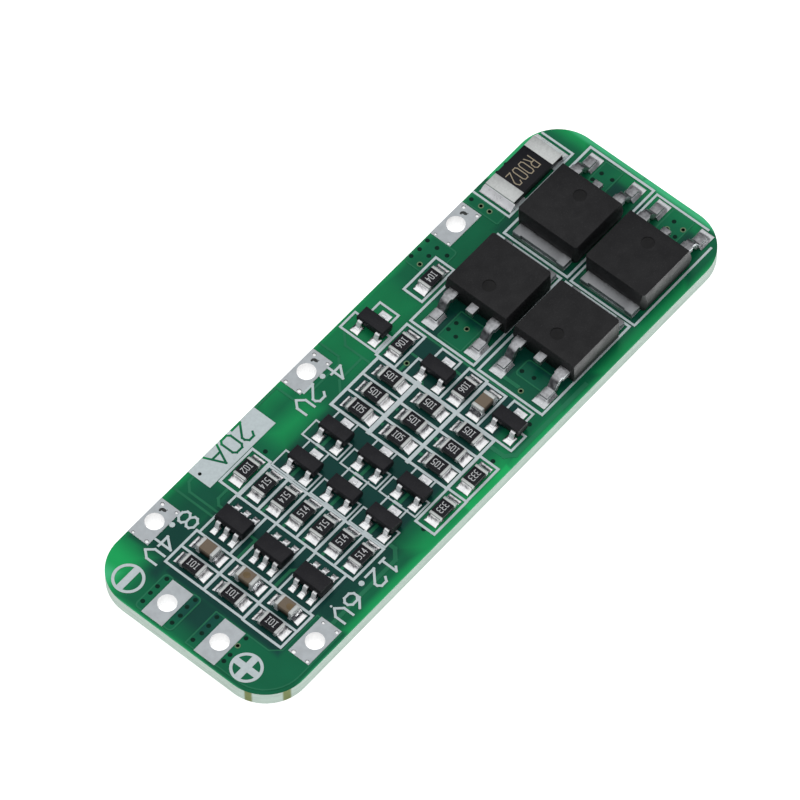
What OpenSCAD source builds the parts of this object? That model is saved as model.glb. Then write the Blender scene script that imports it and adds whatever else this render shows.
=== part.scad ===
// Battery management board for three cells in series: a narrow green circuit board
// with six drilled wire lands, four power transistors, a current shunt and three
// channels of small surface-mounted parts.
// Lengths are in millimetres. X runs along the board from the plus and minus end,
// Y across it, and Z = 0 is the board's underside. The origin is the underside's centre.

/* [Board] */
// Length of the board
board_l = 59; // [59:0.5:75]
// Width of the board
board_w = 20; // [20:0.5:30]
// Thickness of the laminate
board_t = 1.4; // [0.8:0.1:2.4]
// Radius of the board's corners
corner_r = 4; // [1:0.25:4.5]

/* [Wire lands] */
// Diameter of each plated wire hole
wire_hole_d = 1.65; // [1.2:0.05:1.8]
// Wall of the plating inside a wire hole
barrel_wall = 0.08; // [0.05:0.01:0.15]
// Thickness of every tinned copper land
land_t = 0.05; // [0.03:0.01:0.1]
// Length of a land for a cell tap
tap_land_l = 4.1; // [3:0.05:4.5]
// Width of a land for a cell tap
tap_land_w = 2.15; // [2:0.05:2.3]
// Length of the plus and minus lands
main_land_l = 3.85; // [3:0.05:4]
// Width of the plus and minus lands
main_land_w = 2.2; // [2:0.05:2.6]

/* [Power transistors] */
// Length of the moulding, measured along the legs
fet_l = 6.2; // [5.8:0.05:6.4]
// Width of the moulding
fet_w = 6.6; // [6.2:0.05:6.8]
// Height of the whole package above its lands
fet_h = 2.3; // [2:0.05:2.6]
// Gap between the moulding and the lands' tops
fet_stand = 0.05; // [0.02:0.01:0.1]
// Width of the drain tab
tab_w = 5.5; // [5:0.05:5.6]
// Thickness of the drain tab
tab_t = 0.5; // [0.4:0.02:0.6]
// How far the drain tab stands out of the moulding
tab_out = 0.95; // [0.6:0.05:1.1]
// Depth of the step in the drain tab's outer edge
tab_step = 0.12; // [0.1:0.01:0.3]
// Width of each lug beside that step
tab_lug = 0.8; // [0.5:0.05:1.2]
// Width of a leg at its foot
leg_w = 0.78; // [0.6:0.02:0.9]
// Width of a leg at its root, where the tie bar was cut away
leg_root_w = 1; // [0.9:0.02:1.2]
// Thickness of a leg
leg_t = 0.5; // [0.4:0.02:0.6]
// Distance between the two outer legs
leg_pitch = 4.6; // [4.4:0.05:4.9]
// Height of a leg's top face where it leaves the moulding
leg_top = 1.4; // [1.2:0.05:1.6]
// How far a leg reaches out of the moulding
leg_reach = 2.75; // [2.4:0.05:2.9]
// Length of a leg's flat shoulder
leg_shoulder = 0.85; // [0.6:0.05:1]
// Length of a leg's wide root outside the moulding
leg_root = 0.75; // [0.5:0.05:0.9]
// How far the cut centre leg stands out
stub_out = 0.85; // [0.4:0.05:1]
// Diameter of the ejector mark on the moulding
mark_d = 1.2; // [0.8:0.05:1.6]
// Depth of the ejector mark
mark_depth = 0.06; // [0.03:0.01:0.15]
// Clear space between two mouldings side by side
fet_gap = 0.7; // [0.5:0.05:1]

/* [Small transistors] */
// Length of the moulding, across its leads
sot_l = 2.85; // [2.7:0.05:3.1]
// Width of the moulding
sot_w = 1.3; // [1.2:0.05:1.5]
// Height above the lands
sot_h = 1; // [0.9:0.05:1.3]
// Distance from lead tip to lead tip
sot_span = 2.5; // [2.3:0.05:2.7]
// Distance between the two leads on one side
sot_pitch = 1.9; // [1.7:0.05:2]
// Width of a lead
sot_lead_w = 0.42; // [0.3:0.02:0.5]

/* [Cell monitor chips] */
// Length of the moulding, across its leads
chip_l = 3; // [2.8:0.05:3.2]
// Width of the moulding
chip_w = 1.6; // [1.4:0.05:1.7]
// Height above the lands
chip_h = 1.15; // [0.9:0.05:1.4]
// Distance from lead tip to lead tip
chip_span = 2.8; // [2.6:0.05:3]
// Distance between neighbouring leads
chip_pitch = 0.95; // [0.9:0.05:1]
// Width of a lead
chip_lead_w = 0.4; // [0.3:0.02:0.45]

/* [Fine leads] */
// Thickness of the small packages' leads
fine_t = 0.13; // [0.1:0.01:0.2]
// Height of a fine lead's top face where it leaves the moulding
fine_top = 0.7; // [0.5:0.02:0.75]

/* [Chip resistors] */
// Length of a resistor
res_l = 2; // [1.8:0.05:2.1]
// Width of a resistor
res_w = 1.25; // [1.1:0.05:1.35]
// Height of a resistor
res_h = 0.5; // [0.4:0.05:0.65]
// Length of an end cap on a resistor
res_end = 0.35; // [0.25:0.05:0.45]
// Thickness of the black coat on a resistor's face
coat_t = 0.06; // [0.04:0.01:0.1]

/* [Chip capacitors] */
// Length of a capacitor
cap_l = 1.85; // [1.8:0.05:2.1]
// Width of a capacitor
cap_w = 1.15; // [1.1:0.05:1.35]
// Height of a capacitor
cap_h = 0.85; // [0.6:0.05:1.1]
// Length of an end cap on a capacitor
cap_end = 0.38; // [0.3:0.02:0.55]

/* [Current shunt] */
// Length of the shunt
shunt_l = 6.3; // [6:0.05:6.5]
// Width of the shunt
shunt_w = 3.1; // [2.8:0.05:3.2]
// Height of the shunt
shunt_h = 0.7; // [0.5:0.05:0.9]
// Length of an end cap on the shunt
shunt_end = 1.3; // [0.9:0.05:1.6]

/* [End caps and solder] */
// Wall of the metal end caps on resistors, capacitors and the shunt
cap_wall = 0.05; // [0.03:0.01:0.08]
// How far the solder runs out past a chip's end cap
chip_run = 0.65; // [0.4:0.05:0.7]
// How far the solder runs out past a fine lead's tip
fine_run = 0.35; // [0.2:0.05:0.4]
// How far the solder runs out past a power leg's tip
leg_run = 0.3; // [0.2:0.05:0.5]
// How far a power leg's land runs out past its tip
leg_ahead = 0.7; // [0.5:0.05:0.8]
// Height that solder climbs, as a share of the part's end face
climb = 0.8; // [0.5:0.05:0.95]

/* [Layout] */
// Plus land's distance from the long edge with one tap land
plus_y = 7.43; // [7.2:0.01:7.6]
// Distance between the plus and minus lands
main_pitch = 5.61; // [5:0.01:6]
// Distance of the 12.6 V land from its long edge
tap_y = 1.63; // [1.4:0.01:1.8]
// First channel's distance from the long edge with one tap land
row_y = 5.25; // [5:0.05:5.5]
// Distance between the three channels
row_pitch = 4.2; // [4.1:0.05:4.4]
// Distance between the rows of the resistor ladder
ladder_pitch = 2.07; // [2:0.01:2.2]
// Outer pair of power transistors: distance of the mouldings' centres from the far end
fet_outer_x = 7.5; // [7.25:0.05:7.75]
// Inner pair of power transistors: distance of the mouldings' centres from the far end
fet_inner_x = 16.5; // [16.25:0.05:16.75]
// Distance of the lower mouldings' centres from the long edge
fet_y = 4.6; // [4.5:0.05:4.8]
// Clear space between the upper mouldings and the shunt
shunt_gap = 1.1; // [0.8:0.05:1.5]
// Shunt's distance from the far end
shunt_x = 6.25; // [6:0.05:6.5]
// Shunt's distance from the long edge with three tap lands
shunt_y = 2.15; // [2.05:0.05:2.3]

/* [Hidden] */
$fn = 48;
ON_LANDS = board_t + land_t;
ALONG_X = 0;
ALONG_Y = 90;
TURNED = 180;
// Draft of the moulded bodies, in degrees from upright
DRAFT = 7;
// Corner chamfer at the tab end of a power transistor
FET_CHAMFER = 0.45;
// Distance of the ejector mark's centre from the moulding's face at the legs
MARK_IN = 1.75;
// Where the centre leg rises from the tab: how far back it starts, and how far its lower
// and upper faces lean
RISE_BACK = 0.6;
RISE_RUN = 0.7;
RISE_TOP = 0.45;
// Length of tab, leg and lead held inside a moulding
TAB_HELD = 4.4;
LEG_HELD = 0.9;
FINE_HELD = 0.3;
// Slope of the legs and leads between shoulder and foot
LEG_SLOPE = 58;
FINE_SLOPE = 70;
// Inside radius of a leg's and a lead's bends
LEG_BEND = 0.2;
FINE_BEND = 0.08;
FINE_SHOULDER = 0.06;
BEND_STEPS = 4;
// Length of land under an end cap, a fine lead and a power leg
CHIP_UNDER = 0.4;
FINE_UNDER = 0.55;
LEG_UNDER = 1.05;
// Margin of a land beyond the sides of what stands on it
LEG_MARGIN = 0.28;
TAB_MARGIN = 0.05;
SHUNT_MARGIN = 0.18;
FINE_MARGIN = 0.22;
CHIP_FINE_MARGIN = 0.1;
// Solder that stands past the drain tab's outer edge
TAB_RUN = 0.08;
// Share of a fillet's run and climb at which its hollow face turns
HOLLOW = 0.3;
CUT = 1;

// Colours as they look on the board
GREEN = [0.10, 0.45, 0.29];
TIN = [0.80, 0.81, 0.82];
SOLDER = [0.88, 0.89, 0.90];
MOULDING = [0.15, 0.15, 0.17];
COAT = [0.10, 0.10, 0.11];
CERAMIC = [0.85, 0.84, 0.80];
TAN = [0.60, 0.50, 0.40];

// Sum of the first n numbers in a list
function total(list, n) = n == 0 ? 0 : list[n - 1] + total(list, n - 1);

// Centres of parts that stand in a row and fill a length. Each part is its size and the gap
// before it. All the gaps, with the last one after the row, give in the same proportion when
// the length or a part changes.
function spread(row, last_gap, length) =
    let (
        sizes = [for (part = row) part[0]],
        gaps = [for (part = row) part[1]],
        give = (length - total(sizes, len(row))) / (total(gaps, len(row)) + last_gap)
    )
    [for (i = [0:len(row) - 1]) total(sizes, i) + sizes[i] / 2 + give * total(gaps, i + 1)];

// Room along the board that a chip, a small transistor and a monitor take with their lands
CHIP_ROOM = res_l + 2 * chip_run;
SWITCH_ROOM = sot_span + 2 * fine_run;
MONITOR_ROOM = chip_span + 2 * fine_run;

// Columns of small parts, from the plus and minus end to the inner power transistors' legs
LEGS_X = board_l - fet_inner_x - fet_l / 2 - leg_reach - leg_ahead;
COLUMNS = spread([
    [main_land_l, 0.345],
    [res_w, 1.33],
    [cap_w, 0.7],
    [MONITOR_ROOM, 0.875],
    [CHIP_ROOM, 1],
    [SWITCH_ROOM, 0.45],
    [SWITCH_ROOM, 0.65],
    [res_w, 0.675],
    [res_w, 0.7],
    [res_w, 0.8],
    [CHIP_ROOM, 0.775],
], 1.15, LEGS_X);
MAIN_X = COLUMNS[0];
SERIES_X = COLUMNS[1];
FILTER_X = COLUMNS[2];
MONITOR_X = COLUMNS[3];
LADDER_X = COLUMNS[4];
SWITCH_X = [COLUMNS[5], COLUMNS[6]];
BALANCE_X = [COLUMNS[7], COLUMNS[8], COLUMNS[9]];
CENTRE_X = COLUMNS[10];

// Rows of the centre column, from the long edge with one tap land to the other one
CENTRE_Y = spread([
    [sot_l, 1.425],
    [cap_w, 0.8],
    [res_w, 0.95],
    [sot_l, 0.7],
    [res_w, 1.95],
    [sot_l, 0.9],
], 1.075, board_w);

// Rows of the power end: lower and upper mouldings, and the shunt
POWER_Y = spread([
    [fet_w, fet_y - fet_w / 2],
    [fet_w, fet_gap],
    [shunt_w, shunt_gap],
], shunt_y - shunt_w / 2, board_w);
INNER_X = board_l - fet_inner_x;
OUTER_X = board_l - fet_outer_x;

// Height of a row of parts in one of the three channels
function channel(k, shift = 0) = row_y + shift + row_pitch * k;
// Height of a row in the resistor ladder, which is centred on the middle channel
LADDER_SHIFT = -0.38;
function ladder(k) = channel(1, LADDER_SHIFT) + ladder_pitch * (k - 2.5);
// Rows of the balance resistors and small transistors, a little below the channel's middle
BALANCE_SHIFT = -0.55;
SWITCH_SHIFT = -0.58;
// Parts that stand a little to one side of their column
TAP_SHIFT = [0.17, 0.26, 0.1];
SENSE_SHIFT = 0.15;
CENTRE_SHIFT = -0.1;
// The row of the two 333 resistors, and the one of resistor 102
PULL_Y = 1.7;
PULL_PITCH = 4;
SENSE_Y = 16.35;
// Places of resistor 104 and the 0 V land, measured from the inner power transistors
GATE_X = -2.85;
GATE_Y = 5;
ZERO_X = 2.7;

// Wire lands: name, distance along the board, which long edge it is measured from,
// distance from that edge, length and width
LOWER = 0;
UPPER = 1;
TAP_X = (SERIES_X + FILTER_X) / 2;
WIRE_LANDS = [
    ["battery_output_minus", MAIN_X, LOWER, plus_y + main_pitch, main_land_l, main_land_w],
    ["battery_output_plus", MAIN_X, LOWER, plus_y, main_land_l, main_land_w],
    ["battery_tap_12v6", TAP_X + TAP_SHIFT[0], LOWER, tap_y, tap_land_l, tap_land_w],
    ["battery_tap_8v4", TAP_X + TAP_SHIFT[1], UPPER, tap_land_w / 2, tap_land_l, tap_land_w],
    ["battery_tap_4v2", BALANCE_X[0] + TAP_SHIFT[2], UPPER, tap_land_w / 2, tap_land_l, tap_land_w],
    ["battery_tap_0v", INNER_X + ZERO_X, UPPER, tap_land_w / 2, tap_land_l, tap_land_w],
];

// Resistors: name, place along and across the board, direction
RESISTORS = concat(
    [for (k = [0:2]) [str("resistor_101_", k + 1), SERIES_X, channel(k), ALONG_Y]],
    [["resistor_102", LADDER_X + SENSE_SHIFT, SENSE_Y, ALONG_X]],
    [for (k = [0:5]) [str("resistor_514_", k + 1), LADDER_X, ladder(k), ALONG_X]],
    [for (k = [0:8])
        [str("resistor_105_", k + 1), BALANCE_X[k % 3], channel(floor(k / 3), BALANCE_SHIFT), ALONG_Y]],
    [for (k = [0:1]) [str("resistor_333_", k + 1), SWITCH_X[1] + PULL_PITCH * k, PULL_Y, ALONG_X]],
    [["resistor_106_1", CENTRE_X, CENTRE_Y[4], ALONG_X]],
    [["resistor_106_2", CENTRE_X, CENTRE_Y[2], ALONG_X]],
    [["resistor_104", INNER_X + GATE_X, POWER_Y[1] + GATE_Y, ALONG_X]]
);

// Capacitors: name, place along and across the board, direction
CAPACITORS = concat(
    [for (k = [0:2]) [str("capacitor_", k + 1), FILTER_X, channel(k), ALONG_Y]],
    [["capacitor_4", CENTRE_X + CENTRE_SHIFT, CENTRE_Y[1], ALONG_X]]
);

// Small transistors, each with its single lead towards the far end
SMALL_TRANSISTORS = concat(
    [for (k = [0:5])
        [str("transistor_", k + 1), SWITCH_X[k % 2], channel(floor(k / 2), SWITCH_SHIFT), ALONG_X]],
    [["transistor_7", CENTRE_X, CENTRE_Y[5], ALONG_X]],
    [["transistor_8", CENTRE_X + CENTRE_SHIFT, CENTRE_Y[3], ALONG_X]],
    [["transistor_9", CENTRE_X + CENTRE_SHIFT, CENTRE_Y[0], ALONG_X]]
);

// Cell monitor chips, one for each channel
MONITORS = [for (k = [0:2]) [str("cell_monitor_", k + 1), MONITOR_X, channel(k), ALONG_X]];

// Power transistors: the inner pair's legs point at the plus and minus end, and the
// outer pair's at the far end
POWER_TRANSISTORS = [
    ["power_transistor_1", INNER_X, POWER_Y[1], TURNED],
    ["power_transistor_2", INNER_X, POWER_Y[0], TURNED],
    ["power_transistor_3", OUTER_X, POWER_Y[1], ALONG_X],
    ["power_transistor_4", OUTER_X, POWER_Y[0], ALONG_X],
];

NAME = 0;
AT_X = 1;
AT_Y = 2;
TURN = 3;

function names(list) = [for (part = list) part[NAME]];

// Puts a part that is drawn about its own centre at its place, on top of the lands
module at(part) {
    translate([part[AT_X] - board_l / 2, part[AT_Y] - board_w / 2, ON_LANDS])
        rotate(part[TURN])
            children();
}

// A block centred across X and Y with its lower face at z
module block(l, w, h, z = 0) {
    translate([-l / 2, -w / 2, z])
        cube([l, w, h]);
}

// The same shape at both ends of a part
module both_ends() {
    children();
    rotate(180)
        children();
}

// Extrudes an outline, drawn with X outwards and Y upwards, to a width centred on Y = 0
module across(width) {
    rotate([90, 0, 0])
        translate([0, 0, -width / 2])
            linear_extrude(width)
                children();
}

// Points on an arc about a centre
function arc(c, r, from, to) =
    [for (i = [0:BEND_STEPS]) let (a = from + (to - from) * i / BEND_STEPS) c + r * [cos(a), sin(a)]];

// Outline of a gull-wing lead seen from the side: held length, shoulder, two bends and a
// foot that ends at reach. The moulding's face is at X = 0 and the foot stands on Y = 0.
function gull_wing(held, top, t, shoulder, reach, slope, bend) =
    let (
        r = bend + t / 2,
        c1 = [shoulder, top - t / 2 - r],
        fall = (c1[1] - t / 2 - r + 2 * r * cos(slope)) / sin(slope),
        c2 = [shoulder + 2 * r * sin(slope) + fall * cos(slope), t / 2 + r]
    )
    concat(
        [[-held, top]],
        arc(c1, r + t / 2, 90, 90 - slope),
        arc(c2, r - t / 2, 270 - slope, 270),
        [[reach, t], [reach, 0]],
        arc(c2, r + t / 2, 270, 270 - slope),
        arc(c1, r - t / 2, 90 - slope, 90),
        [[-held, top - t]]
    );

// Section of a moulding that is widest at its parting line
module drafted(width, low, parting, high) {
    in_low = (parting - low) * tan(DRAFT);
    in_high = (high - parting) * tan(DRAFT);
    half = width / 2;
    polygon([
        [-half + in_low, low],
        [half - in_low, low],
        [half, parting],
        [half - in_high, high],
        [-half + in_high, high],
        [-half, parting],
    ]);
}

// A moulded body, drafted on all four sides
module moulding(l, w, low, parting, high) {
    intersection() {
        across(w)
            drafted(l, low, parting, high);
        rotate(90)
            across(l)
                drafted(w, low, parting, high);
    }
}

// Board with its rounded corners, the six drilled holes and the shallow seats of the
// lands on the underside
module board_outline() {
    square([board_l - 2 * corner_r, board_w], center = true);
    square([board_l, board_w - 2 * corner_r], center = true);
    for (x = [-1, 1], y = [-1, 1])
        translate([x * (board_l / 2 - corner_r), y * (board_w / 2 - corner_r)])
            circle(corner_r);
}

function from_edge(land) = land[2] == UPPER ? board_w - land[3] : land[3];

module at_wire_land(land) {
    translate([land[AT_X] - board_l / 2, from_edge(land) - board_w / 2, 0])
        children();
}

BARREL_D = wire_hole_d + 2 * barrel_wall;

module board() {
    color(GREEN)
        difference() {
            linear_extrude(board_t)
                board_outline();
            for (land = WIRE_LANDS)
                at_wire_land(land) {
                    translate([0, 0, -CUT])
                        cylinder(d = BARREL_D, h = board_t + 2 * CUT);
                    block(land[4], land[5], land_t + CUT, -CUT);
                }
        }
}

// A wire land: tinned plates on both faces, joined by the plated hole
module wire_land(land) {
    color(TIN)
        at_wire_land(land)
            difference() {
                union() {
                    block(land[4], land[5], land_t, board_t);
                    block(land[4], land[5], land_t);
                    cylinder(d = BARREL_D, h = board_t);
                }
                translate([0, 0, -CUT])
                    cylinder(d = wire_hole_d, h = ON_LANDS + 2 * CUT);
            }
}

// Solder with a hollow face, against an end face at X = 0
module fillet(width, run, rise) {
    across(width)
        polygon([[0, 0], [run, 0], [run * HOLLOW, rise * HOLLOW], [0, rise]]);
}

// Land for one end of a part, from under the part to run past its end face
module land(under, run, width) {
    translate([-under, -width / 2, -land_t])
        cube([under + run, width, land_t]);
}

// Chip resistor: ceramic slab, black coat and two wrap-round end caps
module resistor(l, w, h, end, coat) {
    core_h = h - coat;
    color(CERAMIC)
        block(l - 2 * cap_wall, w, core_h - 2 * cap_wall, cap_wall);
    color(COAT)
        block(l - 2 * end, w, coat + cap_wall, core_h - cap_wall);
    color(SOLDER)
        both_ends()
            difference() {
                translate([l / 2 - end, -w / 2, 0])
                    cube([end, w, core_h]);
                block(l - 2 * cap_wall, w + CUT, core_h - 2 * cap_wall, cap_wall);
            }
}

// Chip capacitor: ceramic block with a cup-shaped cap over each end
module capacitor_core() {
    block(cap_l - 2 * cap_wall, cap_w - 2 * cap_wall, cap_h - 2 * cap_wall, cap_wall);
}

module capacitor() {
    color(TAN)
        capacitor_core();
    color(SOLDER)
        both_ends()
            difference() {
                translate([cap_l / 2 - cap_end, -cap_w / 2, 0])
                    cube([cap_end, cap_w, cap_h]);
                capacitor_core();
            }
}

// Gull-wing lead of a small package whose moulding is w wide and whose leads span tip to tip
module fine_lead(w, span, lead_w) {
    translate([w / 2, 0, 0])
        across(lead_w)
            polygon(gull_wing(
                FINE_HELD, fine_top, fine_t, FINE_SHOULDER, (span - w) / 2, FINE_SLOPE, FINE_BEND
            ));
}

// Places of a small transistor's leads: side and offset
SOT_LEADS = [[0, 0], [180, -sot_pitch / 2], [180, sot_pitch / 2]];
// Places of a cell monitor's leads
CHIP_LEADS = [for (side = [0, 180], k = [-1, 0, 1]) [side, k * chip_pitch]];

module at_leads(leads) {
    for (lead = leads)
        rotate(lead[0])
            translate([0, lead[1], 0])
                children();
}

module sot_leads() {
    at_leads(SOT_LEADS)
        fine_lead(sot_w, sot_span, sot_lead_w);
}

module chip_leads() {
    at_leads(CHIP_LEADS)
        fine_lead(chip_w, chip_span, chip_lead_w);
}

// Gap under the small mouldings
FINE_STAND = 0.08;
FINE_PARTING = fine_top - fine_t / 2;

module small_transistor() {
    color(MOULDING)
        difference() {
            moulding(sot_w, sot_l, FINE_STAND, FINE_PARTING, sot_h);
            sot_leads();
        }
    color(TIN)
        sot_leads();
}

module cell_monitor() {
    color(MOULDING)
        difference() {
            moulding(chip_w, chip_l, FINE_STAND, FINE_PARTING, chip_h);
            chip_leads();
        }
    color(TIN)
        chip_leads();
}

// Outer edge of a power transistor's drain tab, measured from the moulding's centre
TAB_EDGE = fet_l / 2 + tab_out;

// Drain tab with its stepped edge, and the cut centre leg that rises from it
module drain_tab() {
    difference() {
        translate([-TAB_EDGE, -tab_w / 2, 0])
            cube([tab_out + TAB_HELD, tab_w, tab_t]);
        translate([-TAB_EDGE - CUT, -tab_w / 2 + tab_lug, -CUT])
            cube([CUT + tab_step, tab_w - 2 * tab_lug, tab_t + 2 * CUT]);
    }
    rise_x = TAB_HELD - fet_l / 2;
    across(leg_w)
        polygon([
            [rise_x - RISE_BACK, 0],
            [rise_x, 0],
            [rise_x + RISE_RUN, leg_top - leg_t],
            [fet_l / 2 + stub_out, leg_top - leg_t],
            [fet_l / 2 + stub_out, leg_top],
            [rise_x + RISE_TOP, leg_top],
            [rise_x - RISE_BACK, tab_t],
        ]);
}

// Plan of a power leg: a wide root that narrows to the foot, from the moulding's face at X = 0
module leg_plan() {
    root = leg_root_w / 2;
    foot = leg_w / 2;
    polygon([
        [-LEG_HELD, -root],
        [leg_root, -root],
        [leg_root + root - foot, -foot],
        [leg_reach, -foot],
        [leg_reach, foot],
        [leg_root + root - foot, foot],
        [leg_root, root],
        [-LEG_HELD, root],
    ]);
}

module power_legs() {
    for (side = [-1, 1])
        translate([fet_l / 2, side * leg_pitch / 2, 0])
            intersection() {
                across(leg_root_w)
                    polygon(gull_wing(
                        LEG_HELD, leg_top, leg_t, leg_shoulder, leg_reach, LEG_SLOPE, LEG_BEND
                    ));
                linear_extrude(leg_top)
                    leg_plan();
            }
}

module power_lead_frame() {
    color(TIN) {
        drain_tab();
        power_legs();
    }
}

// Plan of the moulding, with the corners at the tab end cut off
module fet_plan() {
    half_l = fet_l / 2;
    half_w = fet_w / 2;
    polygon([
        [half_l, -half_w],
        [half_l, half_w],
        [-half_l + FET_CHAMFER, half_w],
        [-half_l, half_w - FET_CHAMFER],
        [-half_l, -half_w + FET_CHAMFER],
        [-half_l + FET_CHAMFER, -half_w],
    ]);
}

module power_body() {
    color(MOULDING)
        difference() {
            intersection() {
                moulding(fet_l, fet_w, fet_stand, leg_top - leg_t / 2, fet_h);
                linear_extrude(fet_h)
                    fet_plan();
            }
            drain_tab();
            power_legs();
            translate([fet_l / 2 - MARK_IN, 0, fet_h - mark_depth])
                cylinder(d = mark_d, h = mark_depth + CUT);
        }
}

SHUNT = ["shunt", board_l - shunt_x, POWER_Y[2], ALONG_X];

module shunt_core() {
    block(shunt_l - 2 * cap_wall, shunt_w, shunt_h - 2 * cap_wall, cap_wall);
}

module shunt_body() {
    color(COAT)
        union() {
            shunt_core();
            block(shunt_l - 2 * shunt_end, shunt_w, shunt_h - cap_wall, cap_wall);
        }
}

module shunt_end_caps() {
    color(SOLDER)
        both_ends()
            difference() {
                translate([shunt_l / 2 - shunt_end, -shunt_w / 2, 0])
                    cube([shunt_end, shunt_w, shunt_h]);
                block(shunt_l - 2 * cap_wall, shunt_w + CUT, shunt_h - 2 * cap_wall, cap_wall);
            }
}

// Runs its children once for each end of each chip in a list, with X = 0 at the end face
module at_chip_ends(list, l) {
    for (part = list)
        at(part)
            both_ends()
                translate([l / 2, 0, 0])
                    children();
}

// The same at each fine lead's tip
module at_fine_tips(list, leads, span) {
    for (part = list)
        at(part)
            at_leads(leads)
                translate([span / 2, 0, 0])
                    children();
}

// The same at each power leg's tip
module at_leg_tips() {
    for (part = POWER_TRANSISTORS, side = [-1, 1])
        at(part)
            translate([fet_l / 2 + leg_reach, side * leg_pitch / 2, 0])
                children();
}

// Tinned copper under every component, between the board and its feet
module component_lands() {
    color(TIN) {
        at_chip_ends(RESISTORS, res_l)
            land(CHIP_UNDER, chip_run, res_w);
        at_chip_ends(CAPACITORS, cap_l)
            land(CHIP_UNDER, chip_run + (res_l - cap_l) / 2, res_w);
        at_chip_ends([SHUNT], shunt_l)
            land(shunt_end, chip_run, shunt_w + 2 * SHUNT_MARGIN);
        at_fine_tips(SMALL_TRANSISTORS, SOT_LEADS, sot_span)
            land(FINE_UNDER, fine_run, sot_lead_w + 2 * FINE_MARGIN);
        at_fine_tips(MONITORS, CHIP_LEADS, chip_span)
            land(FINE_UNDER, fine_run, chip_lead_w + 2 * CHIP_FINE_MARGIN);
        at_leg_tips()
            land(LEG_UNDER, leg_ahead, leg_w + 2 * LEG_MARGIN);
        for (part = POWER_TRANSISTORS)
            at(part)
                translate([-TAB_EDGE - TAB_RUN, -tab_w / 2 - TAB_MARGIN, -land_t])
                    cube([TAB_HELD + tab_out + TAB_RUN, tab_w + 2 * TAB_MARGIN, land_t]);
    }
}

// Solder fillets at every end cap, lead tip and tab edge
module solder_joints() {
    color(SOLDER) {
        at_chip_ends(RESISTORS, res_l)
            fillet(res_w, chip_run, (res_h - coat_t) * climb);
        at_chip_ends(CAPACITORS, cap_l)
            fillet(cap_w, chip_run, cap_h * climb);
        at_chip_ends([SHUNT], shunt_l)
            fillet(shunt_w, chip_run, shunt_h * climb);
        at_fine_tips(SMALL_TRANSISTORS, SOT_LEADS, sot_span)
            fillet(sot_lead_w, fine_run, fine_t * climb);
        at_fine_tips(MONITORS, CHIP_LEADS, chip_span)
            fillet(chip_lead_w, fine_run, fine_t * climb);
        at_leg_tips()
            fillet(leg_w, leg_run, leg_t * climb);
        for (part = POWER_TRANSISTORS, side = [-1, 1])
            at(part)
                translate([-TAB_EDGE, side * (tab_w - tab_lug) / 2, 0])
                    rotate(180)
                        fillet(tab_lug, TAB_RUN, tab_t * climb);
    }
}

board();
for (land = WIRE_LANDS)
    wire_land(land);
component_lands();
solder_joints();
for (part = POWER_TRANSISTORS)
    at(part) power_body();
for (part = POWER_TRANSISTORS)
    at(part) power_lead_frame();
at(SHUNT) shunt_body();
at(SHUNT) shunt_end_caps();
for (part = MONITORS)
    at(part) cell_monitor();
for (part = SMALL_TRANSISTORS)
    at(part) small_transistor();
for (part = CAPACITORS)
    at(part) capacitor();
for (part = RESISTORS)
    at(part) resistor(res_l, res_w, res_h, res_end, coat_t);
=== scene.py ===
"""Looks of a battery management board: solder mask over copper, white print, solder, chips and mouldings.

Laid out as an add-on and run as a script. Lengths are in metres, in the frame of the CAD model. Places on the
board are given in millimetres from the corner at the plus land, X along the board and Y across it.
"""

import functools
import math
import random

import bmesh
import bpy
from mathutils import Matrix, Quaternion, Vector


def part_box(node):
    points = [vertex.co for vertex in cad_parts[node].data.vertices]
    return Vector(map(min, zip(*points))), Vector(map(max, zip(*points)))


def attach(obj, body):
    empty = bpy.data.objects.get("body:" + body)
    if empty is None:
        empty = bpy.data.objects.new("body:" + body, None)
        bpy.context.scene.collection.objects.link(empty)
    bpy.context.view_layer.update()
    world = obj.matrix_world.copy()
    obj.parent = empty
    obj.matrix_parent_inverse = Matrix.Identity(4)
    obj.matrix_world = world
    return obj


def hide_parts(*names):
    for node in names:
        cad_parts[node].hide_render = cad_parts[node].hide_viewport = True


bl_info = {
    "name": "Battery management board",
    "version": (1, 0, 0),
    "blender": (4, 5, 0),
    "location": "View3D > Sidebar > Board",
    "description": "Dresses the CAD model of a battery management board",
    "category": "Object",
}

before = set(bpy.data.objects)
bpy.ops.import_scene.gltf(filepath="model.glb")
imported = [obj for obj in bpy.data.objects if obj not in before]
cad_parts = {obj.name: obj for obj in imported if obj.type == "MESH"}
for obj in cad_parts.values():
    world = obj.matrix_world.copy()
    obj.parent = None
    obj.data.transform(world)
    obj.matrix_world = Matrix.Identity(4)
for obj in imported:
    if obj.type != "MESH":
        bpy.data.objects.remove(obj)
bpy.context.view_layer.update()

MM = 0.001
BOARD_LOW, BOARD_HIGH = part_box("board")

# Heights above the underside, in millimetres
BOARD_TOP = BOARD_HIGH.z / MM
LANDS_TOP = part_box("component_lands")[1].z / MM
COPPER_TOP = BOARD_TOP + 0.022
TRACK_TOP = COPPER_TOP - 0.006
RIM_TOP = COPPER_TOP + 0.001
COVERED_TOP = COPPER_TOP + 0.004
BARE_TOP = COPPER_TOP + 0.008
PRINT_TOP = BOARD_TOP + 0.04

TURNED = math.pi
ALONG_Y = math.pi / 2


def srgb(red, green, blue):
    """A linear colour from the 0 to 255 values of a picture."""
    parts = [c / 255 for c in (red, green, blue)]
    return tuple(c / 12.92 if c <= 0.04045 else ((c + 0.055) / 1.055) ** 2.4 for c in parts)


# Settings


def amount(name, about, value, **kind):
    return bpy.props.FloatProperty(name=name, description=about, default=value, min=0.0, **kind)


def length(name, about, value):
    return amount(name, about, value, precision=6, subtype="DISTANCE", unit="LENGTH")


def share(name, about, value):
    return amount(name, about, value, max=1.0, subtype="FACTOR")


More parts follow.
